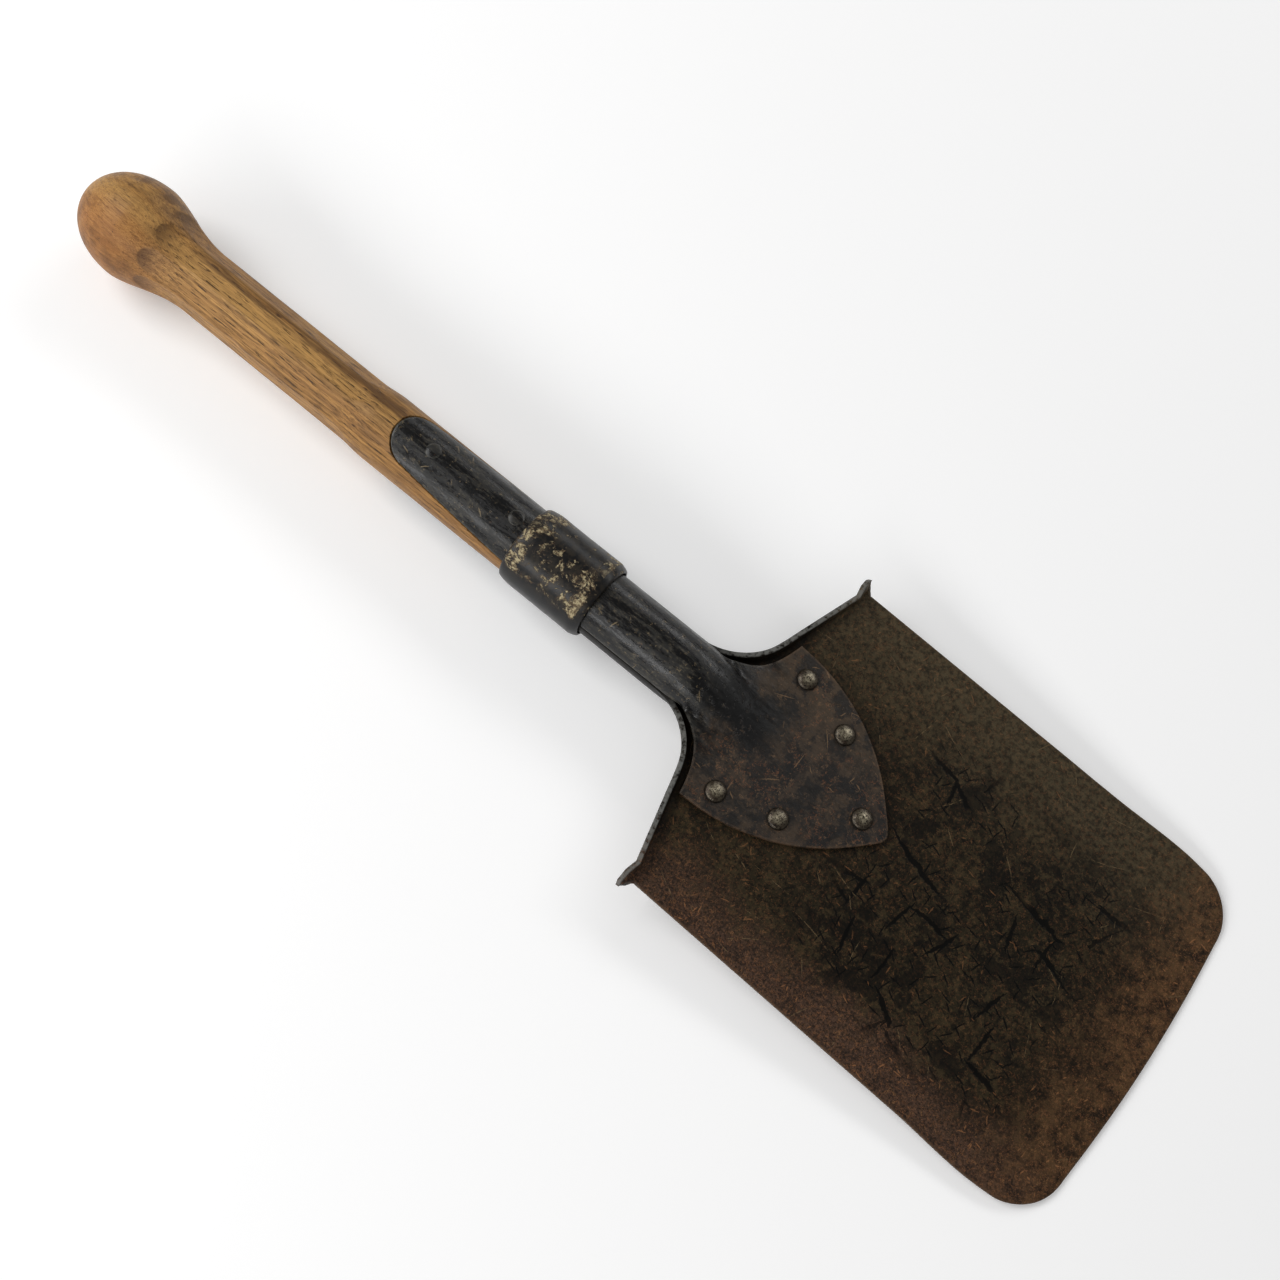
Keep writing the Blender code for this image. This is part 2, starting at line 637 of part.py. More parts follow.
def strap_bed(name, angle, side, thickness):
    """The space a strap needs in the wood: from its inner face outwards, a gap larger."""
    depth = 0.0060

    def radius_at(x):
        return strap_radius(x) - thickness - GAP + depth / 2

    def wider(x):
        return angle(x) + GAP / (SHAFT_DIAMETER / 2)

    rows = strap_stations(wider, radius_at, side, FLARE_START + 0.030, extra=GAP)
    return as_cutter(sheet(name, rows, depth, None))


def make_handle(mat):
    """Turned and faceted wood with beds for both straps and a rounded end in the neck."""
    wood_end = FLARE_START - 0.0045 + WOOD_END_TAPER
    places = [KNOB_BELLY * (1.0 - math.cos(math.pi / 2 * k / 7)) for k in range(1, 8)]
    places += [mix(KNOB_BELLY, SCOOP_END, k / 4) for k in range(1, 5)]
    places += [SCOOP_END + SCOOP_LENGTH * k / 3 for k in range(1, 4)]
    places += [mix(SCOOP_END + SCOOP_LENGTH, KNOB_LENGTH, k / 4) for k in range(1, 5)]
    places += [mix(KNOB_LENGTH, GRIP_END, 0.5), GRIP_END]
    places += [GRIP_END + SWELL_LENGTH * k / 3 for k in range(1, 4)]
    places += [mix(COLLAR_START - 0.002, COLLAR_END - 0.006, k / 4) for k in range(5)]
    places += [FLARE_START - 0.0045]
    rows = [[(x, a, wood_radius(x, a)) for a in ring_angles()] for x in places]
    core = handle_radius(places[-1])
    for k in range(1, 5):
        a = math.pi / 2 * k / 5
        x = places[-1] + WOOD_END_TAPER * math.sin(a)
        rows.append([(x, b, core * math.cos(a)) for b in ring_angles()])
    points = [Vector((0, 0, 0))]
    for row in rows:
        points += [Vector((x, r * math.sin(a), r * math.cos(a))) for x, a, r in row]
    points.append(Vector((wood_end, 0, 0)))
    faces = []
    count = ROUND_STEPS
    for k in range(count):
        n = (k + 1) % count
        faces.append((0, 1 + n, 1 + k))
        for i in range(len(rows) - 1):
            a, b = 1 + i * count, 1 + (i + 1) * count
            faces.append((a + k, a + n, b + n, b + k))
        last = 1 + (len(rows) - 1) * count
        faces.append((last + k, last + n, len(points) - 1))
    handle = new_object("handle", mesh_from("handle", points, faces), mat)
    neck_angle = rear_neck_angle()
    cut(handle, strap_bed("front_bed", lambda x: strap_angle(x, SEAM_ANGLE), 1, STRAP_THICKNESS))
    cut(handle, strap_bed("rear_bed", lambda x: strap_angle(x, neck_angle), -1, BLADE_THICKNESS))
    return handle


def ring_angles():
    return [2.0 * math.pi * k / ROUND_STEPS for k in range(ROUND_STEPS)]


# ------------------------------------------------------------------ rivets
def dome(radius, height, base, sign):
    """Profile of a domed head from its rim up to its top, along +Z or -Z."""
    steps = 4
    points = []
    for k in range(steps):
        a = math.pi / 2 * k / steps
        points.append((base + sign * height * math.sin(a), radius * math.cos(a)))
    return points + [(base + sign * height, 0.0)]


def hole(name, placed, half_length):
    """A round cutter through every piece that a rivet joins."""
    radius = RIVET_SHANK / 2 + GAP
    profile = [(-half_length, 0.0), (-half_length, radius), (half_length, radius), (half_length, 0.0)]
    cutter = turned(name, profile, None, RIVET_STEPS, axis='Z')
    cutter.matrix_world = placed
    return as_cutter(cutter)


def make_shield_rivets(blade, strap, mat):
    """Five domed rivets, hammered flush on the back of the blade."""
    tilt = math.radians(BLADE_PITCH)
    places = []
    for drop, half in zip(SHIELD_RIVET_DROPS, SHIELD_RIVET_HALF_SPANS):
        for side in (1, -1) if half else (0,):
            places.append((SHIELD_CORNER + drop, side * half))
    rivets = []
    stack = SHEET_MID + GAP + STRAP_THICKNESS + GAP
    for k, (x, y) in enumerate(places, start=1):
        z = blade_plane(x)
        head = dome(RIVET_HEAD / 2, RIVET_HEAD_HEIGHT, stack, 1)
        profile = [(-SHEET_MID, 0.0), (-SHEET_MID, RIVET_SHANK / 2), (stack, RIVET_SHANK / 2)] + head
        rivet = turned(f"shield_rivet_{k}", profile, mat, RIVET_STEPS, axis='Z')
        placed = Matrix.Translation((x, y, z)) @ Matrix.Rotation(tilt, 4, 'Y')
        rivet.matrix_world = placed
        cutter = hole(f"shield_rivet_hole_{k}", placed, 4 * BLADE_THICKNESS)
        cut(blade, cutter)
        cut(strap, cutter)
        rivets.append(rivet)
    return rivets


def make_strap_rivets(blade, strap, handle, mat):
    """Two rivets through the front strap, the wood and the rear strap, low heads on both."""
    rivets = []
    for name, x in (("upper_strap_rivet", UPPER_RIVET), ("lower_strap_rivet", LOWER_RIVET)):
        seat = strap_radius(x) + GAP
        shank = RIVET_SHANK / 2
        low = dome(STRAP_RIVET_HEAD / 2, STRAP_RIVET_HEIGHT, -seat, -1)
        high = dome(STRAP_RIVET_HEAD / 2, STRAP_RIVET_HEIGHT, seat, 1)
        profile = list(reversed(low)) + [(-seat, shank), (seat, shank)] + high
        rivet = turned(name, profile, mat, RIVET_STEPS, axis='Z')
        rivet.location.x = x
        cutter = hole(name + "_hole", Matrix.Translation((x, 0.0, 0.0)), STRAP_DIAMETER)
        for piece in (blade, strap, handle):
            cut(piece, cutter)
        rivets.append(rivet)
    return rivets


# ------------------------------------------------------------------ laying the tool down
def world_points(solids):
    """Corner points of the finished solids, modifiers included."""
    bpy.context.view_layer.update()
    graph = bpy.context.evaluated_depsgraph_get()
    points = []
    for obj in solids:
        final = obj.evaluated_get(graph)
        points += [final.matrix_world @ v.co for v in final.data.vertices]
    return points


def resting_tilt(points):
    """Angle of the line under the tool that spans its middle: what it lies on."""
    low = {}
    for p in points:
        key = round(p.x, 5)
        low[key] = min(p.z, low.get(key, p.z))
    hull = []
    for q in sorted(low.items()):
        while len(hull) > 1:
            a, b = hull[-2], hull[-1]
            if (b[0] - a[0]) * (q[1] - a[1]) - (b[1] - a[1]) * (q[0] - a[0]) > 0:
                break
            hull.pop()
        hull.append(q)
    middle = BLADE_END / 2
    for a, b in zip(hull, hull[1:]):
        if a[0] <= middle <= b[0]:
            return math.atan2(b[1] - a[1], b[0] - a[0])
    return 0.0


def lay_down(solids):
    """Parents the solids to an empty and sets it so that the tool rests on z = 0."""
    tool = bpy.data.objects.new("shovel", None)
    bpy.context.collection.objects.link(tool)
    children = [obj for obj in bpy.context.scene.objects if obj.type == 'MESH']
    for obj in children:
        obj.parent = tool
    tilt = Matrix.Rotation(resting_tilt(world_points(solids)), 4, 'Y')
    tool.matrix_world = tilt
    points = world_points(solids)
    lows = [min(p[i] for p in points) for i in range(3)]
    highs = [max(p[i] for p in points) for i in range(3)]
    shift = (-(lows[0] + highs[0]) / 2, -(lows[1] + highs[1]) / 2, -lows[2])
    tool.matrix_world = Matrix.Translation(shift) @ tilt
    bpy.context.view_layer.update()


def main():
    for obj in list(bpy.data.objects):
        bpy.data.objects.remove(obj, do_unlink=True)
    wood = material("oiled_wood", (0.33, 0.17, 0.06), 0.55, 0.0)
    enamel = material("black_enamel", (0.015, 0.015, 0.015), 0.40, 0.3)
    painted = material("worn_paint", (0.03, 0.025, 0.018), 0.60, 0.4)
    rusty = material("rusty_steel", (0.05, 0.03, 0.02), 0.65, 0.5)
    blade = make_blade(painted)
    strap = make_front_strap(enamel)
    handle = make_handle(wood)
    solids = [blade, strap, handle, make_collar(enamel)]
    solids += make_shield_rivets(blade, strap, rusty)
    solids += make_strap_rivets(blade, strap, handle, enamel)
    lay_down(solids)


main()
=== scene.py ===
# %% [markdown]
# # A camp shovel, piece by piece
#
# This is a short-handled shovel of the kind a camper straps to a pack. A turned wooden handle
# ends in a knob. A steel blade runs up into a rear strap, a second strap lies on the front of
# the handle and spreads into a riveted shield, and a short collar is driven over both.
#
# The measured model of every piece is loaded first. It says where each piece is and how big
# it is, and nothing here moves it. The lesson then makes a finer piece for each measured one.

# %% Load the measured shovel
import json
import math

import bpy
import numpy as np
from mathutils import Euler, Matrix, Vector, kdtree, noise


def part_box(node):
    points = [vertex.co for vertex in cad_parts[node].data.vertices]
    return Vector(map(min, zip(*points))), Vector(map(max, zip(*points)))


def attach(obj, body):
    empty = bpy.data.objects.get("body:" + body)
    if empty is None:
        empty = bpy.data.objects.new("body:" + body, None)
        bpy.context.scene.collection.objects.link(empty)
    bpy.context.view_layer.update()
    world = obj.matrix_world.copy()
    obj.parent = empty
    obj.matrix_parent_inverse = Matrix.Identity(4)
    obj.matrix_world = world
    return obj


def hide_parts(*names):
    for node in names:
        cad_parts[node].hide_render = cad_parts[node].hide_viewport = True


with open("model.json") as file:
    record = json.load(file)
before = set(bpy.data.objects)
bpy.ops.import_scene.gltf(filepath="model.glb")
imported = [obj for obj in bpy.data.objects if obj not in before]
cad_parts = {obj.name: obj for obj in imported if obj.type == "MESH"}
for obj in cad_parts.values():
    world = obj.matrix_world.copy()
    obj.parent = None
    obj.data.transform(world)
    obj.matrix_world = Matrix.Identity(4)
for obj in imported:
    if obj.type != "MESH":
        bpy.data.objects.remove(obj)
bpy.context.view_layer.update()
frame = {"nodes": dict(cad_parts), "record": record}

record = frame["record"]
print("measured pieces:", sorted(frame["nodes"]))

# %% [markdown]
# ## The bench
#
# A maker works on a bench, with the handle's axis along X and the knob's end at zero. All the
# sizes below are millimetres on that bench. One matrix then lays each finished piece where
# the measured shovel lies: it is tipped a fraction of a degree, because it rests on its knob
# and on its cutting edge. The tip comes from the direction of the blade's back, and the
# place from the collar's box.

# %% Sizes along the tool, from the knob's end
KNOB_WIDE = 43.6
KNOB_BELLY = 28.5
KNOB_LONG = 64.0
GRIP_WIDE = 28.4
GRIP_END = 150.0
SHAFT_WIDE = 30.0
SWELL = 12.0
STRAP_TIP = 170.0
COLLAR_START = 236.8
COLLAR_END = 276.2
FLARE_START = 314.5
BLADE_END = 549.5
BLADE_LEAN = math.radians(4.0)
print("the tool is", BLADE_END, "mm long on the bench")

# %% From the bench to the ground
collar_low, collar_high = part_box("collar")
back_face = Vector(record["mounts"][0]["axis"])
tip = math.asin(-back_face.x) - BLADE_LEAN
collar_middle = Vector(((COLLAR_START + COLLAR_END) / 2, 0.0, 0.0))
rigid = (Matrix.Translation((collar_low + collar_high) / 2) @ Matrix.Rotation(tip, 4, 'Y')
         @ Matrix.Translation(-collar_middle / 1000.0))
laid = rigid @ Matrix.Scale(0.001, 4)
print(f"the tool is tipped {math.degrees(tip):.2f} degrees")

# %% [markdown]
# ## Helpers for shaping
#
# Three small functions come back in every piece. `mix` goes from one value to another, and
# `smooth` is a soft step. Both work on single numbers and on whole arrays alike. `wander` is
# soft noise in space, for the small unevenness that every hand-made piece has.

# %% mix, smooth and wander


def mix(a, b, t):
    return a + (b - a) * t


def smooth(value, start, end):
    """0 before start, 1 after end, a soft S between."""
    t = np.clip((value - start) / (end - start), 0.0, 1.0)
    return t * t * (3.0 - 2.0 * t)


def wander(x, y, z, size, seed):
    """Soft noise between about -1 and 1, with lumps about size millimetres across."""
    return noise.noise(Vector((x / size + seed, y / size - seed, z / size + 0.5 * seed)))


# %% [markdown]
# ## From a grid of points to a finished object
#
# Every piece here ends as a mesh with two things besides its shape. The first is a vector
# called `bench`, each point's place in millimetres before the tool is laid down, so that
# grain and scratches can be drawn in the tool's own directions. The second is a number
# called `rim`, which says where a piece wears. On the sheets it is the distance to the nearest
# edge, on the handle the depth that a flat was planed, and on the collar and the rivets how
# far a point lies inside the widest ring.

# %% Make an object on the bench and lay it down


def place(name, points, faces, rim, sharp):
    mesh = bpy.data.meshes.new(name)
    mesh.from_pydata([tuple(p) for p in points], [], faces)
    flat = np.asarray(points, dtype=np.float32).ravel()
    bench = mesh.attributes.new("bench", 'FLOAT_VECTOR', 'POINT')
    bench.data.foreach_set("vector", flat)
    edge = mesh.attributes.new("rim", 'FLOAT', 'POINT')
    edge.data.foreach_set("value", rim)
    mesh.transform(laid)
    mesh.shade_smooth()
    mesh.set_sharp_from_angle(angle=math.radians(sharp))
    piece = bpy.data.objects.new(name, mesh)
    bpy.context.collection.objects.link(piece)
    return piece


def fit_report(piece, node):
    """Prints how far the piece's box is from its measured node's box, in millimetres."""
    low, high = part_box(node)
    points = [v.co for v in piece.data.vertices]
    gaps = []
    for k in range(3):
        axis = [p[k] for p in points]
        gaps += [1000 * abs(min(axis) - low[k]), 1000 * abs(max(axis) - high[k])]
    print(f"{piece.name}: {len(points)} points, box within {max(gaps):.2f} mm of {node}")


def finish_piece(piece, node):
    """The piece rides on the tool and stands for its measured node."""
    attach(piece, "root")
    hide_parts(node)
    fit_report(piece, node)
    return piece


# %% [markdown]
# ## Forged sheet steel
#
# The blade and the front strap are sheets that change from half a tube to a flat plate. A
# smith would hammer them over a form. Here a row of ribs plays the form: each rib is a line
# of points from the middle of the sheet to its rim. `loft` draws a smooth skin through the
# ribs. It uses each column's own spacing, so close ribs and far ribs can follow each other
# without ripples.

# %% Loft a smooth skin through ribs


def loft(ribs, reach, creases):
    """Rows of points through the ribs, about reach apart. At a crease the skin may turn."""
    ribs = np.array(ribs, dtype=float)
    gaps = np.linalg.norm(np.diff(ribs, axis=0), axis=2)[:, :, None] + 1e-6
    slopes = np.diff(ribs, axis=0) / gaps
    before, after = gaps[:-1], gaps[1:]
    between = (slopes[:-1] * after + slopes[1:] * before) / (before + after)
    arriving = np.concatenate([between, slopes[-1:]])
    leaving = np.concatenate([slopes[:1], between])
    for i in creases:
        arriving[i - 1], leaving[i] = slopes[i - 1], slopes[i]
    rows = [ribs[0]]
    for i in range(len(ribs) - 1):
        steps = max(1, math.ceil(float(gaps[i].max()) / reach))
        for k in range(1, steps + 1):
            t = k / steps
            start = (2 * t ** 3 - 3 * t ** 2 + 1) * ribs[i]
            start = start + (t ** 3 - 2 * t ** 2 + t) * gaps[i] * leaving[i]
            end = (3 * t ** 2 - 2 * t ** 3) * ribs[i + 1] + (t ** 3 - t ** 2) * gaps[i] * arriving[i]
            rows.append(start + end)
    return np.array(rows)


# %% [markdown]
# A sheet has two faces and a rim. The rim of old steel isn't square: it is rounded by years
# of use and catches the light as a thin bright line. So the sheet's rim gets a few rows of
# points of its own between the two faces, and the result is one closed body. The sheets are
# drawn as one half and mirrored.

# %% A sheet's other half, its normals and its edge


def both_sides(half):
    """Mirrors rows that run from the middle line to the rim."""
    other = half[:, :0:-1].copy()
    other[:, :, 1] *= -1.0
    return np.concatenate([other, half], axis=1)


def skin_normals(skin):
    rows, cols = skin.shape[:2]
    index = np.arange(rows * cols).reshape(rows, cols)
    quads = np.stack([index[:-1, :-1], index[:-1, 1:], index[1:, 1:], index[1:, :-1]], -1)
    mesh = bpy.data.meshes.new("skin")
    mesh.from_pydata(skin.reshape(-1, 3).tolist(), [], quads.reshape(-1, 4).tolist())
    normals = np.array([v.normal for v in mesh.vertices]).reshape(rows, cols, 3)
    bpy.data.meshes.remove(mesh)
    return normals, quads.reshape(-1, 4)


def edge_loop(rows, cols):
    """Grid places round the rim, in order."""
    loop = [(0, j) for j in range(cols)] + [(i, cols - 1) for i in range(1, rows)]
    loop += [(rows - 1, j) for j in range(cols - 2, -1, -1)]
    return loop + [(i, 0) for i in range(rows - 2, 0, -1)]


# %% [markdown]
# The rim needs to know which way is up and which way is out at each of its points. How round
# it can be depends on how close the next row of points is. The wear of the paint needs every
# other point's distance to the rim, and a search tree finds that quickly.

# %% Directions, radius and distance at the rim
RIM_ROUND = 0.45


def rim_frame(skin, normals, loop):
    """The rim's points, and the way up and the way out at each."""
    rim_points = np.array([skin[i, j] for i, j in loop])
    along = np.roll(rim_points, -1, axis=0) - np.roll(rim_points, 1, axis=0)
    up = np.array([normals[i, j] for i, j in loop])
    out = np.cross(along, up)
    out /= np.linalg.norm(out, axis=1)[:, None] + 1e-9
    middle = skin.reshape(-1, 3).mean(axis=0)
    if np.mean(np.sum(out * (rim_points - middle), axis=1)) < 0:
        out = -out
    return rim_points, up, out


def rim_radius(skin, loop, half):
    rows, cols = skin.shape[:2]
    steps = []
    for i, j in loop:
        inner = skin[min(max(i, 1), rows - 2), min(max(j, 1), cols - 2)]
        steps.append(np.linalg.norm(inner - skin[i, j]))
    return np.minimum(np.minimum(RIM_ROUND, 0.45 * np.array(steps)), 0.95 * half)


def distance_to_rim(skin, rim_points):
    tree = kdtree.KDTree(len(rim_points))
    for k, p in enumerate(rim_points):
        tree.insert(p, k)
    tree.balance()
    return np.array([tree.find(p)[2] for p in skin.reshape(-1, 3)])


# %% Give a skin its thickness and a rounded rim
RIM_TURNS = 3


def plate(name, skin, thickness):
    """A closed sheet around a skin."""
    rows, cols = skin.shape[:2]
    half = thickness / 2
    normals, quads = skin_normals(skin)
    loop = edge_loop(rows, cols)
    rim_points, up, out = rim_frame(skin, normals, loop)
    radius = rim_radius(skin, loop, half)
    edge = [i * cols + j for i, j in loop]
    upper = (skin + normals * half).reshape(-1, 3)
    lower = (skin - normals * half).reshape(-1, 3)
    upper[edge] = rim_points + up * half - out * radius[:, None]
    lower[edge] = rim_points - up * half - out * radius[:, None]
    profile = [(1, math.pi / 2 * k / RIM_TURNS) for k in range(1, RIM_TURNS + 1)]
    profile += [(-1, math.pi / 2 * k / RIM_TURNS) for k in range(RIM_TURNS, 0, -1)]
    rings, count, total = [], len(loop), rows * cols
    for side, a in profile:
        lift = (half - radius + radius * math.cos(a)) * side
        rings.append(rim_points + up * lift[:, None] - out * (radius * (1 - math.sin(a)))[:, None])
    distance = distance_to_rim(skin, rim_points)
    points = np.concatenate([upper, lower] + rings)
    rim = np.concatenate([distance, distance, np.zeros(count * len(rings))])
    faces = quads.tolist() + (quads[:, ::-1] + total).tolist()
    ladder = [edge]
    ladder += [[2 * total + k * count + n for n in range(count)] for k in range(len(rings))]
    ladder.append([n + total for n in edge])
    for a, b in zip(ladder, ladder[1:]):
        for k in range(count):
            n = (k + 1) % count
            faces.append((a[n], a[k], b[k], b[n]))
    return place(name, points, faces, rim, sharp=60.0)


# %% [markdown]
# ## The straps on the handle
#
# Both straps begin as a rounded tongue let into the wood, and widen towards the collar until
# together they close round the neck. The tongue's end is a circle in plan, so the first rib
# starts later the further it is from the middle.

# %% Sizes of the straps
STRAP_WIDE = 29.8
STRAP_THICK = 1.8
NECK_WIDE = 28.6
STRAP_ROUND = 12.5
TIP_ANGLE = 50.0
COLLAR_ANGLE = 72.0
SEAM_ANGLE = 78.0
BLADE_THICK = 2.0
GAP = 0.3
COLUMNS = 36
print("each strap is", COLLAR_START - STRAP_TIP, "mm long above the collar")


def strap_radius(x):
    return mix(STRAP_WIDE, NECK_WIDE, smooth(x, COLLAR_START, COLLAR_END)) / 2


def strap_angle(x, neck_angle):
    """Half of what a strap covers of the round handle, in degrees."""
    grow = np.clip((x - STRAP_TIP - STRAP_ROUND) / (COLLAR_START - STRAP_TIP - STRAP_ROUND), 0.0, 1.0)
    return mix(mix(TIP_ANGLE, COLLAR_ANGLE, grow), neck_angle, smooth(x, COLLAR_START, COLLAR_END))


REAR_NECK_ANGLE = 180.0 - SEAM_ANGLE - math.degrees(1.5 * GAP / (NECK_WIDE / 2 - BLADE_THICK / 2))

# %% Ribs of a strap, from its tongue to the flare


def strap_ribs(neck_angle, thickness, side):
    shares = np.arange(COLUMNS + 1) / COLUMNS
    tongue = STRAP_TIP + STRAP_ROUND * (1.0 - np.sqrt(1.0 - shares ** 2))
    straight = STRAP_TIP + STRAP_ROUND + 2.0
    stations = [mix(tongue, straight, t) for t in np.linspace(0.0, 1.0, 8)[:-1]]
    places = list(np.linspace(straight, COLLAR_START, 4)[:-1])
    places += list(np.linspace(COLLAR_START, COLLAR_END, 5)) + [(COLLAR_END + FLARE_START) / 2]
    stations += [np.full(COLUMNS + 1, x) for x in places]
    ribs = []
    for x in stations:
        radius = strap_radius(x) - thickness / 2
        a = np.radians(strap_angle(x, neck_angle)) * shares
        ribs.append(np.stack([x, radius * np.sin(a), side * radius * np.cos(a)], axis=1))
    return ribs


# %% [markdown]
# ## The blade
#
# One plate makes the blade, its folded flange, the trough behind the socket and the rear
# strap. Its ribs fan out: the first ones cross the neck, the next ones swing along the curve
# of the flare, and the last ones cross the blade. Each rib bends once on its way, and its last
# stretch stands up as the flange's wall.

# %% Sizes of the blade
BLADE_TOP = 154.4
BLADE_TIP = 157.6
SET_BACK = 2.2
FLARE_RADIUS = 27.0
SLOPE = math.radians(16.0)
FLANGE = 4.8
FILLET = 2.9
EDGE_HOLLOW = 0.4
EAR_OUT = 5.2
EAR_RISE = 3.4
CORNER = 22.0
BOW = 2.4
GROUND = 1.4
TROUGH_FADE = 72.0
NARROW_END = 0.52
FLANGE_STAND = math.radians(86.0)
MID = BLADE_THICK / 2
TURN = math.pi / 2 - SLOPE
FLARE_Y = NECK_WIDE / 2 + FLARE_RADIUS
SHOULDER_X = FLARE_START + FLARE_RADIUS * math.sin(TURN)
SHOULDER_Y = FLARE_Y - FLARE_RADIUS * math.cos(TURN)
SIDE_TOP = SHOULDER_X + (BLADE_TOP / 2 - SHOULDER_Y) * math.tan(SLOPE) + EAR_RISE / 2
EAR_ROOT = BLADE_TOP / 2 - 6.0
WALL_COLUMNS = 4
print(f"the shoulders start at {SHOULDER_X:.1f} mm, {SHOULDER_Y:.1f} mm from the middle")


def blade_height(x):
    """Height of the blade's middle surface."""
    return -SET_BACK - MID - (x - SHOULDER_X) * math.tan(BLADE_LEAN)


def narrowing(x, end):
    """The trough and the bulge end in a rounded point, so they narrow as they run out."""
    return mix(1.0, NARROW_END, smooth(x, FLARE_START + 8.0, end))


# %% One rib of the blade


def fan(centre_x, knee, rim, shares):
    """Plan places from the middle line to the rim, along a curve that bends at the knee."""
    t = shares
    x = (1 - t) ** 2 * centre_x + 2 * t * (1 - t) * knee[0] + t * t * rim[0]
    return x, 2 * t * (1 - t) * knee[1] + t * t * rim[1]


def blade_rib(centre_x, knee, rim, inward, merge, wall, lift):
    """inward points from the rim into the blade; merge goes from the round neck (0) to the
    flat blade (1); wall is the flange's height and lift how steeply it stands."""
    radius = NECK_WIDE / 2 - MID
    out = wall * math.cos(lift)
    foot = (rim[0] + inward[0] * out, rim[1] + inward[1] * out)
    bend = math.sin(lift) * wall / (FLANGE + MID)
    flat_columns = COLUMNS - WALL_COLUMNS
    shares = np.sin(np.radians(90.0) * np.arange(flat_columns + 1) / flat_columns)
    x, y = fan(centre_x, knee, foot, shares)
    base = merge * blade_height(x)
    distance = (x - foot[0]) * inward[0] + (y - foot[1]) * inward[1]
    into = np.clip(FILLET - distance, 0.0, FILLET)
    rise = FILLET - np.sqrt(FILLET ** 2 - into ** 2)
    run_out = smooth(x, FLARE_START + 6.0, FLARE_START + TROUGH_FADE)
    keel = mix(-radius, blade_height(x), run_out)
    wide = radius * narrowing(x, FLARE_START + TROUGH_FADE)
    tube = np.sqrt(np.clip(1.0 - (y / wide) ** 2, 0.0, 1.0))
    swell = np.clip(1.0 - (y / (1.15 * wide)) ** 2, 0.0, 1.0) ** 1.6
    z = base - (base - keel) * mix(tube, swell, merge) + merge * rise * bend
    neck_top = radius * math.sin(math.radians(REAR_NECK_ANGLE - 90.0))
    blade_top = blade_height(rim[0]) + wall * math.sin(lift)
    top = np.array([rim[0], rim[1], mix(neck_top, blade_top, merge)])
    foot_point = np.array([x[-1], y[-1], z[-1]])
    stand = np.arange(1, WALL_COLUMNS + 1)[:, None] / WALL_COLUMNS
    return np.concatenate([np.stack([x, y, z], axis=1), mix(foot_point, top, stand)])


# %% [markdown]
# The ribs of the flare turn round the centre of its arc. On the shoulder they march out along
# a straight line that falls away a little. At its end the flange stands past the blade's side
# as a small ear. Then the rim goes down the side, round the corner, and along the edge.

# %% Ribs of the flare, the shoulder and the ear


def flare_foot(angle):
    radius = FLARE_RADIUS + MID
    inward = (math.sin(angle), -math.cos(angle))
    return (FLARE_START + radius * inward[0], FLARE_Y + radius * inward[1]), inward


def rib_knee(centre_x, rim, drop):
    return mix(rim[0], centre_x, 0.42), rim[1] - drop


def flare_ribs():
    full = FLANGE + MID
    rim, inward = flare_foot(0.0)
    ribs = [blade_rib(rim[0], (rim[0], rim[1] / 2), rim, inward, 0.0, 0.0, 0.0)]
    for share in np.arange(1, 10) / 9:
        angle = TURN * share
        rim, inward = flare_foot(angle)
        reach = rim[1] * (0.5 - 0.3 * share ** 2) / math.cos(angle)
        knee = (rim[0] + inward[0] * reach, rim[1] + inward[1] * reach)
        merge = float(smooth(angle, 0.0, math.radians(52.0)))
        ribs.append(blade_rib(knee[0], knee, rim, inward, merge, full, FLANGE_STAND))
    foot, inward = flare_foot(TURN)
    for k in range(1, 5):
        y = mix(foot[1], EAR_ROOT, k / 4)
        rim = (foot[0] + (y - foot[1]) * math.tan(SLOPE), y)
        centre_x = knee[0] + 2.2 * k
        ribs.append(blade_rib(centre_x, rib_knee(centre_x, rim, 9.0), rim, inward, 1.0,
                              full, FLANGE_STAND))
    return ribs


def ear_ribs(start_x):
    """The places hold: x and y, turn of the rim, how far the rib bends, wall share, lift."""
    half = BLADE_TOP / 2
    places = (
        (SIDE_TOP - 1.05 * EAR_RISE, half - 0.8, 62.0, 14.0, 0.92, 76.0),
        (SIDE_TOP - 1.08 * EAR_RISE, half + 0.70 * EAR_OUT, 45.0, 18.6, 0.62, 58.0),
        (SIDE_TOP - 0.90 * EAR_RISE, half + EAR_OUT, 25.0, 22.0, 0.45, 42.0),
        (SIDE_TOP - 0.28 * EAR_RISE, half + 0.45 * EAR_OUT, 12.0, 22.0, 0.30, 15.0),
    )
    ribs = []
    for k, (x, y, turn, drop, share, lift) in enumerate(places, start=1):
        inward = (math.sin(math.radians(turn)), -math.cos(math.radians(turn)))
        centre_x = start_x + 2.0 * k
        ribs.append(blade_rib(centre_x, rib_knee(centre_x, (x, y), drop), (x, y), inward, 1.0,
                              share * (FLANGE + MID), math.radians(lift)))
    return ribs


# %% Ribs down the side, round the corner and along the cutting edge


def edge_x(y):
    return BLADE_END - BOW * (y / (BLADE_TIP / 2 - CORNER)) ** 2


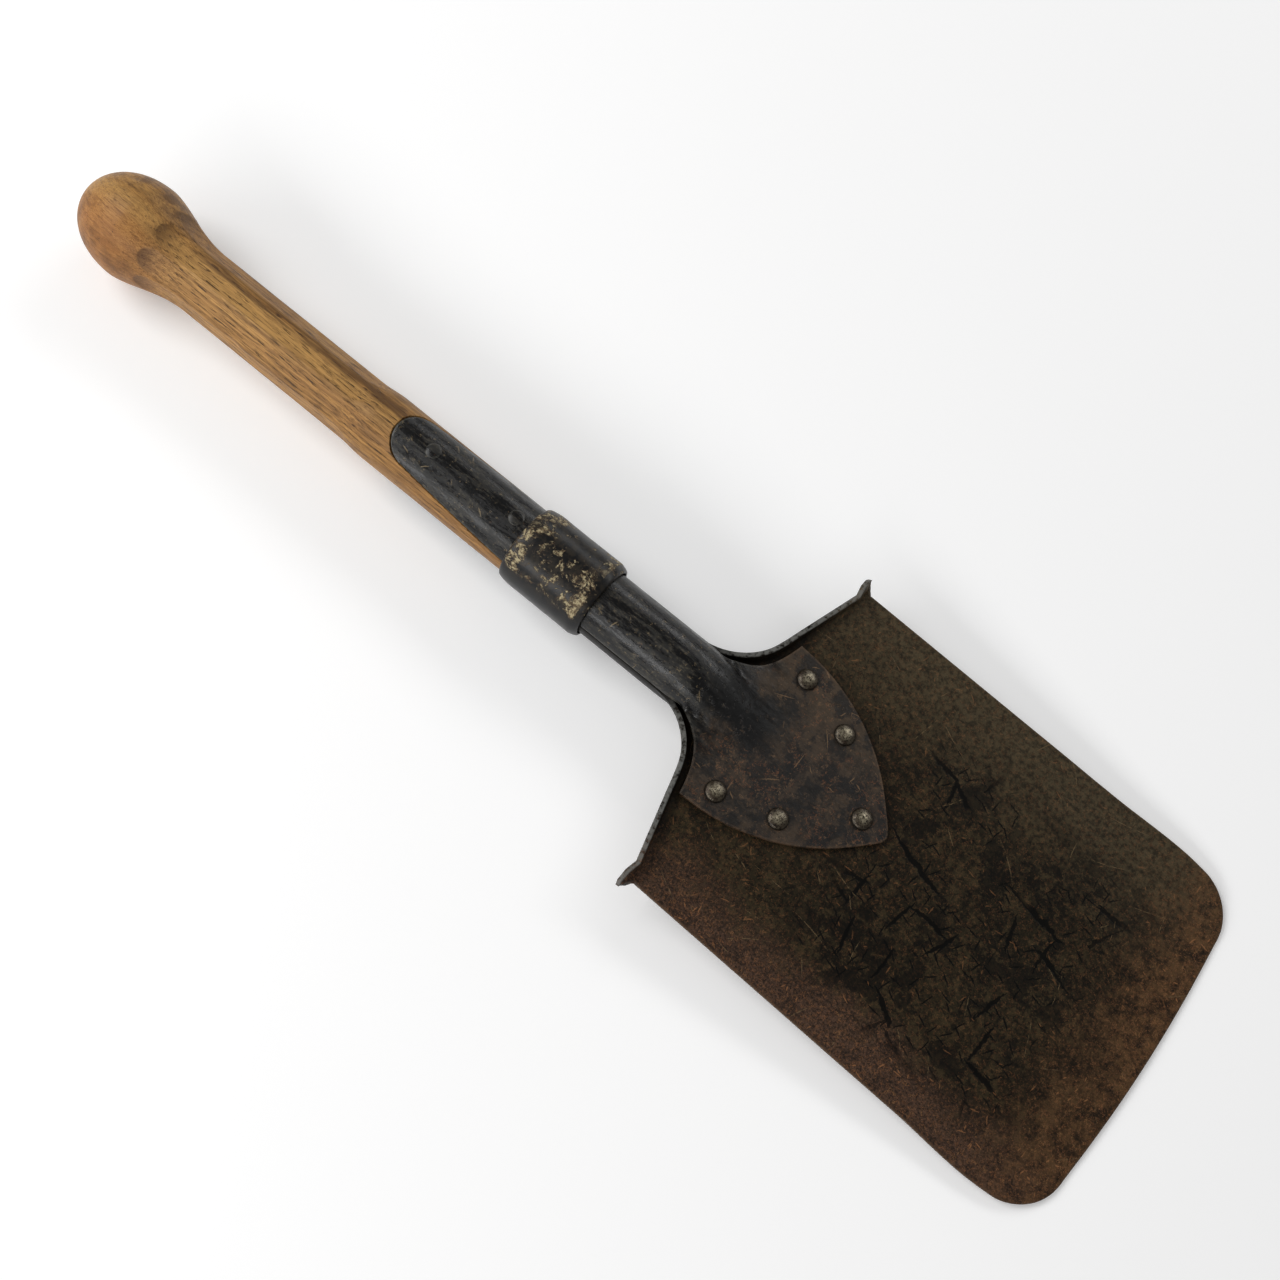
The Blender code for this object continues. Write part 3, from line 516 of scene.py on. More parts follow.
def lower_ribs(start_x):
    corner_y = BLADE_TIP / 2 - CORNER
    corner_x = edge_x(corner_y) - CORNER
    ribs = []
    for share in np.linspace(0.0, 1.0, 5):
        rim = (mix(SIDE_TOP + 1.2, corner_x, share), mix(BLADE_TOP, BLADE_TIP, share) / 2)
        centre_x = mix(start_x, corner_x + 1.0, share)
        ribs.append(blade_rib(centre_x, rib_knee(centre_x, rim, 23.0), rim, (0.0, -1.0), 1.0,
                              GROUND, 0.0))
    for k in range(1, 6):
        a = math.pi / 2 * k / 6
        rim = (corner_x + CORNER * math.sin(a), corner_y + CORNER * math.cos(a))
        centre_x = mix(corner_x + 1.0, BLADE_END - 6.5, k / 5)
        ribs.append(blade_rib(centre_x, (centre_x, 0.75 * rim[1]), rim,
                              (-math.sin(a), -math.cos(a)), 1.0, GROUND, 0.0))
    last_turn = 0.06
    y = ribs[-1][:, 1] * 0.93 * corner_y / ribs[-1][-2, 1]
    y[-1] = corner_y
    edge = np.stack([edge_x(y), y, y], axis=1)
    above = edge.copy()
    above[:, 0] -= GROUND
    above[-1, 0] = corner_x + CORNER * math.cos(last_turn)
    above[-1, 1] = corner_y + CORNER * math.sin(last_turn)
    for rib, x in ((above, BLADE_END - GROUND), (edge, BLADE_END)):
        rib[:, 2] = blade_height(x) + EDGE_HOLLOW * (1.0 - (rib[:, 1] / rib[-1, 1]) ** 2)
    return ribs + [above, edge]


# %% [markdown]
# A used blade is never quite flat. Stones and hammering leave low waves in it, a few tenths
# of a millimetre deep. They fade out under the shield and the straps, where the steel has to
# stay in touch with its neighbours. The cutting edge is worn a little hollow between its
# corners.

# %% Forge the blade


def dent(skin, depth, start_x):
    for row in skin:
        for p in row:
            free = float(smooth(p[0], start_x, start_x + 40.0))
            if free > 0.0:
                p[2] += depth * free * (wander(*p, 34.0, 3.1) + 0.5 * wander(*p, 13.0, 7.7))
    return skin


def make_blade():
    ribs = strap_ribs(REAR_NECK_ANGLE, BLADE_THICK, -1) + flare_ribs()
    ear_start = len(ribs) - 1
    ribs += ear_ribs(ribs[-1][0][0])
    ear_end = len(ribs)
    ribs += lower_ribs(ribs[-1][0][0] + 4.0)
    skin = both_sides(loft(ribs, 1.7, creases=range(ear_start, ear_end + 2)))
    return plate("blade_forged", dent(skin, 0.35, FLARE_START + 105.0), BLADE_THICK)


blade = make_blade()

# %% [markdown]
# ## The front strap and its shield
#
# The front strap leaves the neck as a bulge that narrows and sinks into a flat shield. The
# shield's upper edge follows the flange and keeps clear of its bend, and its sides run in two
# arcs to a blunt point.

# %% Sizes of the shield
SHIELD_WIDE = 79.4
SHIELD_LONG = 72.5
SHIELD_AIR = 3.2
BLUNT = 3.0
BULGE_FADE = 50.0
SHIELD_CORNER = (SHOULDER_X + BLADE_THICK + SHIELD_AIR
                 + (SHIELD_WIDE / 2 - SHOULDER_Y) * math.tan(SLOPE))
STRAP_MID = STRAP_THICK / 2


def shield_height(x):
    return blade_height(x) + MID + GAP + STRAP_MID


# %% One rib of the shield


def shield_rib(centre_x, knee, rim, merge):
    radius = NECK_WIDE / 2 - STRAP_MID
    seam = math.radians(SEAM_ANGLE)
    shares = np.sin(seam * np.arange(COLUMNS + 1) / COLUMNS) / math.sin(seam)
    x, y = fan(centre_x, knee, rim, shares)
    base = mix(radius * math.cos(seam), shield_height(x), merge)
    crown = mix(radius, shield_height(x), smooth(x, FLARE_START + 1.0, FLARE_START + BULGE_FADE))
    wide = radius * narrowing(x, FLARE_START + BULGE_FADE)
    tube = np.sqrt(np.clip(wide ** 2 - y ** 2, 0.0, None)) - wide * math.cos(seam)
    tube = np.clip(tube / (wide * (1.0 - math.cos(seam))), 0.0, None)
    swell = np.clip(1.0 - (y / (1.12 * wide)) ** 2, 0.0, 1.0) ** 1.6
    z = base + (crown - base) * mix(tube, swell, merge)
    return np.stack([x, y, z], axis=1)


# %% Ribs from the neck to the shield's point


def shield_ribs():
    radius = NECK_WIDE / 2 - STRAP_MID
    seam_y = radius * math.sin(math.radians(SEAM_ANGLE))
    first = math.radians(23.5)
    first_reach = (FLARE_Y - seam_y) / math.cos(first)
    dip = FLARE_START + first_reach * math.sin(first)
    ribs = [shield_rib(x, (x, seam_y / 2), (x, seam_y), 0.0)
            for x in np.linspace(FLARE_START, dip, 3)]
    for t in np.arange(1, 8) / 7:
        angle = mix(first, TURN, t)
        reach = mix(first_reach, FLARE_RADIUS + BLADE_THICK + SHIELD_AIR, smooth(t, 0.0, 0.6))
        rim = (FLARE_START + reach * math.sin(angle), FLARE_Y - reach * math.cos(angle))
        length = rim[1] * mix(0.5, 0.28, t) / math.cos(angle)
        knee_x = max(ribs[-1][0][0] + 1.0, rim[0] + length * math.sin(angle))
        knee = (knee_x, rim[1] * mix(0.5, 0.6, t))
        ribs.append(shield_rib(knee_x, knee, rim, smooth(t, 0.0, 0.75)))
    half = SHIELD_WIDE / 2
    arc = (SHIELD_LONG ** 2 + half ** 2) / (2 * half)
    start_x = ribs[-1][0][0] + 2.0
    for t in np.arange(7) / 7:
        a = math.asin(SHIELD_LONG / arc) * t
        rim = (SHIELD_CORNER + arc * math.sin(a), half - arc * (1.0 - math.cos(a)))
        centre_x = mix(start_x, SHIELD_CORNER + SHIELD_LONG, t)
        ribs.append(shield_rib(centre_x, (centre_x, 0.6 * rim[1]), rim, 1.0))
    y = BLUNT * np.arange(COLUMNS + 1) / COLUMNS
    x = SHIELD_CORNER + SHIELD_LONG - 1.2 * (y / BLUNT) ** 2
    return ribs + [np.stack([x, y, shield_height(x)], axis=1)]


def make_front_strap():
    neck = strap_ribs(SEAM_ANGLE, STRAP_THICK, 1)
    shield = shield_ribs()
    corner = len(neck) + len(shield) - 8
    skin = both_sides(loft(neck + shield, 1.5, creases=(corner,)))
    return plate("front_strap_forged", skin, STRAP_THICK)


front_strap = make_front_strap()

# %% [markdown]
# ## The handle
#
# The handle is turned on a lathe, and then eight flats are planed along the grip. A plane
# can't climb the knob, so each flat runs out there in a round scoop. The handle is drawn as
# a height map wrapped round its axis: for every place along and round it, one radius. That
# makes room for what a lathe can't do, such as the scoops, the beds let in for the straps,
# fine open grain and a few knocks.

# %% The turned outline, the flats and the scoops
FLAT_HALF_ANGLE = 19.0
SCOOP_END = 41.0
SCOOP_LONG = 7.0
FLATS = 8


def turned_radius(x):
    knob, grip, shaft = KNOB_WIDE / 2, GRIP_WIDE / 2, SHAFT_WIDE / 2
    to_end = np.clip(KNOB_BELLY - x, 0.0, None) / KNOB_BELLY
    ball = knob * np.sqrt(np.clip(1.0 - to_end ** 2.2, 0.0, 1.0))
    t = np.clip((x - KNOB_BELLY) / (KNOB_LONG - KNOB_BELLY), 0.0, 1.0)
    waist = mix(knob, grip, t ** 1.55 * (2.55 - 1.55 * t))
    core = NECK_WIDE / 2 - BLADE_THICK - 2 * GAP
    wood = mix(grip, shaft, smooth(x, GRIP_END, GRIP_END + SWELL))
    wood = mix(wood, core, smooth(x, COLLAR_START - 2.0, COLLAR_END - 6.0))
    return np.where(x < KNOB_BELLY, ball, np.where(x < KNOB_LONG, waist, wood))


def flat_cut(x, angle, radius):
    """Radius left by the nearest flat."""
    step = 2.0 * math.pi / FLATS
    from_flat = (angle + step / 2) % step - step / 2
    share = np.clip((x - SCOOP_END) / SCOOP_LONG, 0.0, 1.0)
    scoop = np.sqrt(share * (2.0 - share))
    fade = 1.0 - smooth(x, GRIP_END - 4.0, GRIP_END + SWELL)
    level = radius * np.cos(math.radians(FLAT_HALF_ANGLE) * scoop * fade)
    return np.minimum(radius, level / np.cos(from_flat))


# %% The straps' beds, the grain and the knocks
# Each knock holds its place, its turn round the handle, its size and its depth.
KNOCKS = ((92.0, -1.30, 2.4, 0.5), (118.0, 0.9, 1.8, 0.3), (19.0, 0.55, 1.6, 0.25),
          (60.0, -0.7, 1.4, 0.2), (135.0, -0.3, 2.0, 0.22), (24.0, -0.9, 2.2, 0.2))
AROUND = 288


def bed_depth(x, angle):
    """How much wood is taken away for the strap on each side, at a place x and angle."""
    around = np.abs((angle + math.pi) % (2.0 * math.pi) - math.pi)
    depth = np.zeros_like(around)
    for neck_angle, thickness, from_side in ((SEAM_ANGLE, STRAP_THICK, around),
                                             (REAR_NECK_ANGLE, BLADE_THICK, math.pi - around)):
        half = np.radians(strap_angle(x, neck_angle)) + 0.012
        share = np.clip(from_side / half, 0.0, 1.0)
        start = STRAP_TIP - GAP + STRAP_ROUND * (1.0 - np.sqrt(1.0 - share ** 2))
        under = (from_side < half) & (x > start)
        depth = np.where(under, turned_radius(x) - (strap_radius(x) - thickness - GAP), depth)
    return np.clip(depth, 0.0, None)


def make_handle():
    places = list(KNOB_BELLY * (1.0 - np.cos(np.linspace(0.05, math.pi / 2, 60))))
    places += list(np.arange(KNOB_BELLY + 0.7, GRIP_END + SWELL, 0.7))
    places += list(np.arange(GRIP_END + SWELL, COLLAR_START + 6.0, 0.45))
    angle = np.arange(AROUND) * 2.0 * math.pi / AROUND
    points, planed, faces = [np.zeros(3)], [0.0], []
    for x in places:
        turned = np.full(AROUND, float(turned_radius(x)))
        radius = flat_cut(x, angle, turned)
        planed += list(turned - radius)
        radius = radius - bed_depth(x, angle)
        for k, a in enumerate(angle):
            y, z = math.sin(a), math.cos(a)
            groove = noise.noise(Vector((x * 0.06, 11.0 * y, 11.0 * z)))
            r = radius[k] + 0.10 * wander(x, 15 * y, 15 * z, 22.0, 1.3)
            r -= 0.09 * max(0.0, groove - 0.12)
            for at, turn, size, deep in KNOCKS:
                away = math.hypot((x - at) / (1.6 * size), (a - turn % (2 * math.pi)) * 15.0 / size)
                r -= deep * math.exp(-away * away)
            points.append(np.array([x, r * y, r * z]))
    last = len(places)
    points.append(np.array([places[-1] + 3.0, 0.0, 0.0]))
    planed.append(0.0)
    for k in range(AROUND):
        n = (k + 1) % AROUND
        faces.append((0, 1 + n, 1 + k))
        faces.append((1 + (last - 1) * AROUND + k, 1 + (last - 1) * AROUND + n, len(points) - 1))
        for i in range(last - 1):
            a, b = 1 + i * AROUND, 1 + (i + 1) * AROUND
            faces.append((a + k, a + n, b + n, b + k))
    return place("handle_turned", np.array(points), faces, planed, sharp=55.0)


handle = make_handle()

# %% [markdown]
# ## The collar
#
# The collar is a short piece of tube, driven over both straps while hot. Its upper end is
# hammered in to the straps, which leaves a round shoulder, and its lower end has a narrow
# band that was filed down. Its outline is spun round the axis, and a little noise takes
# away the lathe's perfection.

# %% Spin a closed outline round the axis


def spun(name, outline, centre, tilt, steps, uneven, axis='X'):
    """outline holds (along, radius) pairs; a radius of 0 closes that end."""
    ring = outline[0] == outline[-1]
    rows = outline[:-1] if ring else outline
    widest = max(radius for _, radius in rows)
    turn = Matrix.Rotation(tilt, 3, 'Y')
    points, rim, index, faces = [], [], [], []
    for along, radius in rows:
        row = []
        for k in range(1 if radius == 0.0 else steps):
            a = 2.0 * math.pi * k / steps
            y, z = math.sin(a), math.cos(a)
            r = radius + uneven * wander(along, 12.0 * y, 12.0 * z, 6.0, centre[0]) * (radius > 0.0)
            local = (along, r * y, r * z) if axis == 'X' else (r * z, r * y, along)
            row.append(len(points))
            points.append(np.array(turn @ Vector(local) + Vector(centre)))
            rim.append(widest - radius)
        index.append(row)
    pairs = list(zip(index, index[1:] + index[:1] if ring else index[1:]))
    for lower, upper in pairs:
        for k in range(steps):
            n = (k + 1) % steps
            quad = [row[i % len(row)] for row, i in ((lower, k), (lower, n), (upper, n), (upper, k))]
            faces.append(tuple(dict.fromkeys(quad)))
    return place(name, np.array(points), faces, rim, sharp=50.0)


# %% Make the collar
COLLAR_WALL = 2.1
COLLAR_ROUND = 7.5
BAND = 3.2


def make_collar():
    bore = STRAP_WIDE / 2 + GAP
    outer = bore + COLLAR_WALL
    lip = bore + 0.35 * COLLAR_WALL
    outline = [(COLLAR_START, bore), (COLLAR_START, lip)]
    for a in np.linspace(0.0, math.pi / 2, 13)[1:]:
        along = COLLAR_START + COLLAR_ROUND * (1.0 - math.cos(a))
        outline.append((along, mix(lip, outer, math.sin(a))))
    body_end = COLLAR_END - BAND
    outline += [(x, outer) for x in np.linspace(COLLAR_START + COLLAR_ROUND, body_end, 14)[1:]]
    outline += [(body_end + 0.5, outer - 0.20), (body_end + 1.6, outer - 0.45)]
    outline += [(COLLAR_END - 0.8, outer - 0.75), (COLLAR_END - 0.25, outer - 1.05)]
    outline += [(COLLAR_END, outer - 1.5)]
    outline += [(COLLAR_END, bore), (COLLAR_START, bore)]
    return spun("collar_swaged", outline, (0.0, 0.0, 0.0), 0.0, 144, uneven=0.12)


collar = make_collar()

# %% [markdown]
# ## Rivets
#
# Five rivets hold the shield. Each was closed with a hollow punch, which leaves a dome with
# a small teat in its middle. Two flatter ones go right through the handle and both straps.

# %% Sizes and places of the rivets
RIVET_WIDE = 9.0
RIVET_HIGH = 2.4
SHANK = 2.5
SHIELD_RIVETS = ((10.0, 30.0), (35.0, 22.2), (60.2, 0.0))
STRAP_RIVET_WIDE = 6.8
STRAP_RIVET_HIGH = 0.7
STRAP_RIVETS = (("upper", STRAP_TIP + 18.4), ("lower", COLLAR_START - 5.6))
HEAD_STEPS = 12


def domed(radius, height, teat=0.0):
    """Outline of a rivet's head from its rim to its top, as (height, radius) pairs."""
    outline = []
    for k in range(HEAD_STEPS + 1):
        a = math.pi / 2 * k / HEAD_STEPS
        r = radius * math.cos(a) if k < HEAD_STEPS else 0.0
        outline.append((height * math.sin(a) + teat * math.exp(-(r / (0.20 * radius)) ** 2), r))
    return outline


def make_shield_rivets():
    rivets = []
    seat = MID + GAP + STRAP_THICK + GAP
    spots = []
    for drop, half in SHIELD_RIVETS:
        spots += [(SHIELD_CORNER + drop, side * half) for side in ((1, -1) if half else (0,))]
    for k, (x, y) in enumerate(spots, start=1):
        head = [(seat - 0.25 + h, r) for h, r in domed(RIVET_WIDE / 2, RIVET_HIGH - 0.1, teat=0.32)]
        outline = [(-MID, 0.0), (-MID, SHANK), (seat - 0.25, SHANK)] + head
        rivet = spun(f"shield_rivet_head_{k}", outline, (x, y, blade_height(x)), BLADE_LEAN, 48,
                     uneven=0.10, axis='Z')
        rivets.append(finish_piece(rivet, f"shield_rivet_{k}"))
    return rivets


def make_strap_rivets():
    rivets = []
    for name, x in STRAP_RIVETS:
        seat = strap_radius(x) - 0.10
        head = [(seat + h, r) for h, r in domed(STRAP_RIVET_WIDE / 2, STRAP_RIVET_HIGH + 0.3)]
        foot = [(-h, r) for h, r in reversed(head)]
        outline = foot + [(-seat, SHANK), (seat, SHANK)] + head
        rivet = spun(f"{name}_strap_rivet_head", outline, (x, 0.0, 0.0), 0.0, 48, uneven=0.05, axis='Z')
        rivets.append(finish_piece(rivet, f"{name}_strap_rivet"))
    return rivets


shield_rivets = make_shield_rivets()
strap_rivets = make_strap_rivets()

# %% [markdown]
# ## Put the large pieces in place of the measured ones
#
# Each made piece stands for one measured piece and rides on the tool's only body. The
# printed distances say how close the boxes are.

# %% Ride and replace
finish_piece(blade, "blade")
finish_piece(front_strap, "front_strap")
finish_piece(handle, "handle")
finish_piece(collar, "collar")

# %% [markdown]
# ## Helpers for finishes
#
# A finish is a small network of nodes. `Network` keeps it short to write: every method adds
# a node and gives back its output, so nodes nest like sums on paper. Numbers that are the
# same all over a piece, such as its coat, go straight on the shader.

# %% A writer for node networks


def paint(red, green, blue):
    """A colour given as it looks on a screen, 0 to 255, as the light values Blender wants."""
    return tuple(mix(c / 12.92, ((c + 0.055) / 1.055) ** 2.4, c > 0.04045)
                 for c in (red / 255, green / 255, blue / 255)) + (1.0,)


class Network:
    def __init__(self, name, **constants):
        self.material = bpy.data.materials.new(name)
        self.material.use_nodes = True
        self.tree = self.material.node_tree
        self.shader = self.tree.nodes["Principled BSDF"]
        for socket, value in constants.items():
            self.shader.inputs[socket.replace("_", " ")].default_value = value
        self.bench = self.attribute("bench", "Vector")
        self.rim = self.attribute("rim", "Fac")
        split = self.tree.nodes.new("ShaderNodeSeparateXYZ")
        self.tree.links.new(self.bench, split.inputs[0])
        self.x, self.y, self.z = split.outputs

    def attribute(self, name, output):
        node = self.tree.nodes.new("ShaderNodeAttribute")
        node.attribute_name = name
        return node.outputs[output]

    def put(self, socket, value):
        if isinstance(value, bpy.types.NodeSocket):
            self.tree.links.new(value, socket)
        else:
            socket.default_value = value

    def math(self, operation, a, b=0.0, c=0.0):
        node = self.tree.nodes.new("ShaderNodeMath")
        node.operation = operation
        for socket, value in zip(node.inputs, (a, b, c)):
            self.put(socket, value)
        return node.outputs[0]

    def times(self, a, b):
        return self.math('MULTIPLY', a, b)

    def plus(self, a, b):
        return self.math('ADD', a, b)

    def window(self, value, low, high):
        """0 below low, 1 above high. With low above high it falls instead of rising."""
        node = self.tree.nodes.new("ShaderNodeMapRange")
        node.interpolation_type = 'SMOOTHSTEP'
        flip = low > high
        self.put(node.inputs[0], value)
        node.inputs[1].default_value = min(low, high)
        node.inputs[2].default_value = max(low, high)
        node.inputs[3].default_value = 1.0 if flip else 0.0
        node.inputs[4].default_value = 0.0 if flip else 1.0
        return node.outputs[0]

    def blend(self, factor, below, above):
        node = self.tree.nodes.new("ShaderNodeMix")
        node.data_type = 'RGBA'
        self.put(node.inputs["Factor"], factor)
        self.put(node.inputs[6], below)
        self.put(node.inputs[7], above)
        return node.outputs[2]

    def bump(self, height, depth):
        """Relief drawn in the light only, depth in millimetres."""
        node = self.tree.nodes.new("ShaderNodeBump")
        node.inputs["Strength"].default_value = 1.0
        node.inputs["Distance"].default_value = depth / 1000.0
        self.tree.links.new(height, node.inputs["Height"])
        return node.outputs[0]

    def done(self, colour, roughness, normal, metallic=None):
        self.put(self.shader.inputs["Base Color"], colour)
        self.put(self.shader.inputs["Roughness"], roughness)
        self.put(self.shader.inputs["Normal"], normal)
        if metallic is not None:
            self.put(self.shader.inputs["Metallic"], metallic)
        return self.material


# %% [markdown]
# Wear is never even, so most patterns here start as noise. All of them are drawn from the
# `bench` vector, so a scale of 1 means one lump for each millimetre, and a smaller number
# along X stretches the lumps along the tool. Specks are the peaks of a noise. Flecks are thin
# lines where a strongly bent noise crosses its middle value.

# %% Noise, specks and flecks


class Patterns(Network):
    def stretch(self, scale, shift):
        """The bench vector, moved and then scaled for each axis."""
        moved = self.tree.nodes.new("ShaderNodeMapping")
        moved.inputs["Location"].default_value = shift
        scaled = self.tree.nodes.new("ShaderNodeVectorMath")
        scaled.operation = 'MULTIPLY'
        self.tree.links.new(self.bench, moved.inputs[0])
        self.tree.links.new(moved.outputs[0], scaled.inputs[0])
        scaled.inputs[1].default_value = scale
        return scaled.outputs[0]

    def noise(self, scale, detail=3.0, rough=0.55, shift=(0.0, 0.0, 0.0), bend=0.0):
        if not isinstance(scale, tuple):
            scale = (scale, scale, scale)
        node = self.tree.nodes.new("ShaderNodeTexNoise")
        self.tree.links.new(self.stretch(scale, shift), node.inputs["Vector"])
        node.inputs["Scale"].default_value = 1.0
        node.inputs["Detail"].default_value = detail
        node.inputs["Roughness"].default_value = rough
        node.inputs["Distortion"].default_value = bend
        return node.outputs["Fac"]

    def peaks(self, field, share):
        """The part of a noise that covers about share of the surface."""
        edge = 0.5 + 0.30 * (0.5 - share)
        return self.window(field, edge, edge + 0.05)

    def specks(self, size, share, shift):
        """Ragged spots about size millimetres across."""
        return self.peaks(self.noise(1.0 / size, 4.0, 0.85, shift=shift), share)

    def flecks(self, size, share, seed):
        """Short curly marks about size millimetres long, such as rust breaking through."""
        shift = (13.0 * seed, 7.0 * seed, 3.0 * seed)
        field = self.noise(1.0 / size, 2.0, 0.6, shift=shift, bend=1.4)
        line = self.window(self.math('ABSOLUTE', self.math('SUBTRACT', field, 0.5)), 0.040, 0.012)
        return self.times(line, self.peaks(self.noise(0.8 / size, 3.0, 0.6, shift=shift[::-1]), share))


# %% [markdown]
# A scratch is a mark with a length, a width and a direction of its own, and noise can't make
# that. So the surface is divided into the cells of a random net, and a share of the cells get
# one scratch each, through the cell's own point. The cell's random colour is the lot that
# decides its direction, its bow and whether it is there at all.

# %% Scratches


class Finish(Patterns):
    def scratches(self, cell, length, width, share, seed, turn=0.0, spread=90.0):
        """One pointed, slightly curved scratch in a share of the cells of a random net.

        cell, length and width are in millimetres. turn is the scratches' direction and spread
        how far they stray from it, in degrees.
        """
        net = self.tree.nodes.new("ShaderNodeTexVoronoi")
        net.voronoi_dimensions = '2D'
        net.inputs["Scale"].default_value = 1.0
        places = self.stretch((1.0 / cell, 1.0 / cell, 0.0), (cell * seed, 3.0 * cell * seed, 0.0))
        self.tree.links.new(places, net.inputs["Vector"])
        away = self.tree.nodes.new("ShaderNodeVectorMath")
        away.operation = 'SUBTRACT'
        self.tree.links.new(places, away.inputs[0])
        self.tree.links.new(net.outputs["Position"], away.inputs[1])
        lot = self.tree.nodes.new("ShaderNodeSeparateXYZ")
        self.tree.links.new(net.outputs["Color"], lot.inputs[0])
        stray = self.math('SUBTRACT', lot.outputs[0], 0.5)
        angle = self.math('MULTIPLY_ADD', stray, -2.0 * math.radians(spread), -math.radians(turn))
        lined_up = self.tree.nodes.new("ShaderNodeVectorRotate")
        lined_up.rotation_type = 'Z_AXIS'
        self.tree.links.new(away.outputs[0], lined_up.inputs["Vector"])
        self.tree.links.new(angle, lined_up.inputs["Angle"])
        local = self.tree.nodes.new("ShaderNodeSeparateXYZ")
        self.tree.links.new(lined_up.outputs[0], local.inputs[0])
        along = self.math('ABSOLUTE', self.times(local.outputs[0], 2.0 * cell / length))
        along = self.math('POWER', along, 2.0)
        bow = self.times(self.math('SUBTRACT', lot.outputs[2], 0.5), 0.10 * length / cell)
        bow = self.times(along, bow)
        ragged = self.math('SUBTRACT', self.noise(0.9 / width, 2.0, 0.6), 0.5)
        ragged = self.times(ragged, 1.1 * width / cell)
        off = self.math('ABSOLUTE', self.plus(self.math('SUBTRACT', local.outputs[1], bow), ragged))
        taper = self.math('MAXIMUM', self.math('SUBTRACT', 1.0, along), 0.0001)
        inside = self.window(self.math('DIVIDE', self.times(off, 2.0 * cell / width), taper), 1.0, 0.55)
        return self.times(inside, self.window(lot.outputs[1], share + 0.01, share - 0.01))


# %% [markdown]
# A finished network is put on its piece, in place of whatever the piece wore.

# %% Put a finish on a piece


def dress(piece, material):
    piece.data.materials.clear()
    piece.data.materials.append(material)
    print(f"{piece.name} wears {material.name}, {len(material.node_tree.nodes)} nodes")


# %% [markdown]
# ## Oiled ash
#
# Wood is a solid texture: the rings are tubes round the tree's heart, and the handle is a
# stick cut from beside it. Drawing the rings as distance from that heart makes straight lines
# on the grip and curves on the knob, with no seam anywhere. Ash has rows of open pores
# along each ring, which show as short dark dashes.

# %% The wood's grain
HEART = (-62.0, -38.0)
RING = 2.3


def wood_grain(f, knob):
    """The wood's colour, its open pores and its fibres, before it was ever held, and a painted highlight
    along its top.
    """
    drift = f.noise((0.012, 0.05, 0.05), 2.0)
    side = f.math('SUBTRACT', f.y, HEART[0])
    depth = f.math('SUBTRACT', f.z, HEART[1])
    away = f.math('SQRT', f.plus(f.times(side, side), f.times(depth, depth)))
    ring = f.math('FRACT', f.plus(f.times(away, 1.0 / RING), f.times(drift, 4.5)))
    early = f.times(f.window(ring, 0.0, 0.10), f.window(ring, 0.55, 0.16))
    fibre = f.noise((0.06, 3.4, 3.4), 4.0, 0.65)
    pores = f.window(f.noise((0.15, 2.2, 2.2), 3.0, 0.60), 0.550, 0.595)
    open_pores = f.times(pores, f.plus(f.times(early, 0.60), 0.40))
    open_pores = f.times(open_pores, f.math('SUBTRACT', 1.0, f.times(knob, 0.45)))
    tone = f.blend(f.noise((0.012, 0.13, 0.13), 3.0), paint(200, 154, 86), paint(162, 113, 58))
    tone = f.blend(f.times(early, f.plus(f.times(knob, -0.25), 0.40)), tone, paint(122, 80, 38))
    bands = f.window(f.noise((0.022, 0.75, 0.75), 3.0, 0.6, shift=(0.0, 3.0, 5.0)), 0.44, 0.62)
    tone = f.blend(f.times(bands, 0.45), tone, paint(116, 78, 38))
    tone = f.blend(f.times(f.window(fibre, 0.44, 0.62), 0.55), tone, paint(104, 68, 32))
    # A lighter stripe along the top of the handle is a painted highlight.
    facet_highlight = f.times(f.window(f.math('ABSOLUTE', f.plus(f.y, 1.5)), 5.5, 2.5), f.window(f.z, 0.0, 8.0))
    tone = f.blend(f.times(facet_highlight, 0.25), tone, paint(206, 164, 98))
    tone = f.blend(f.times(open_pores, 0.92), tone, paint(46, 28, 14))
    return tone, open_pores, fibre
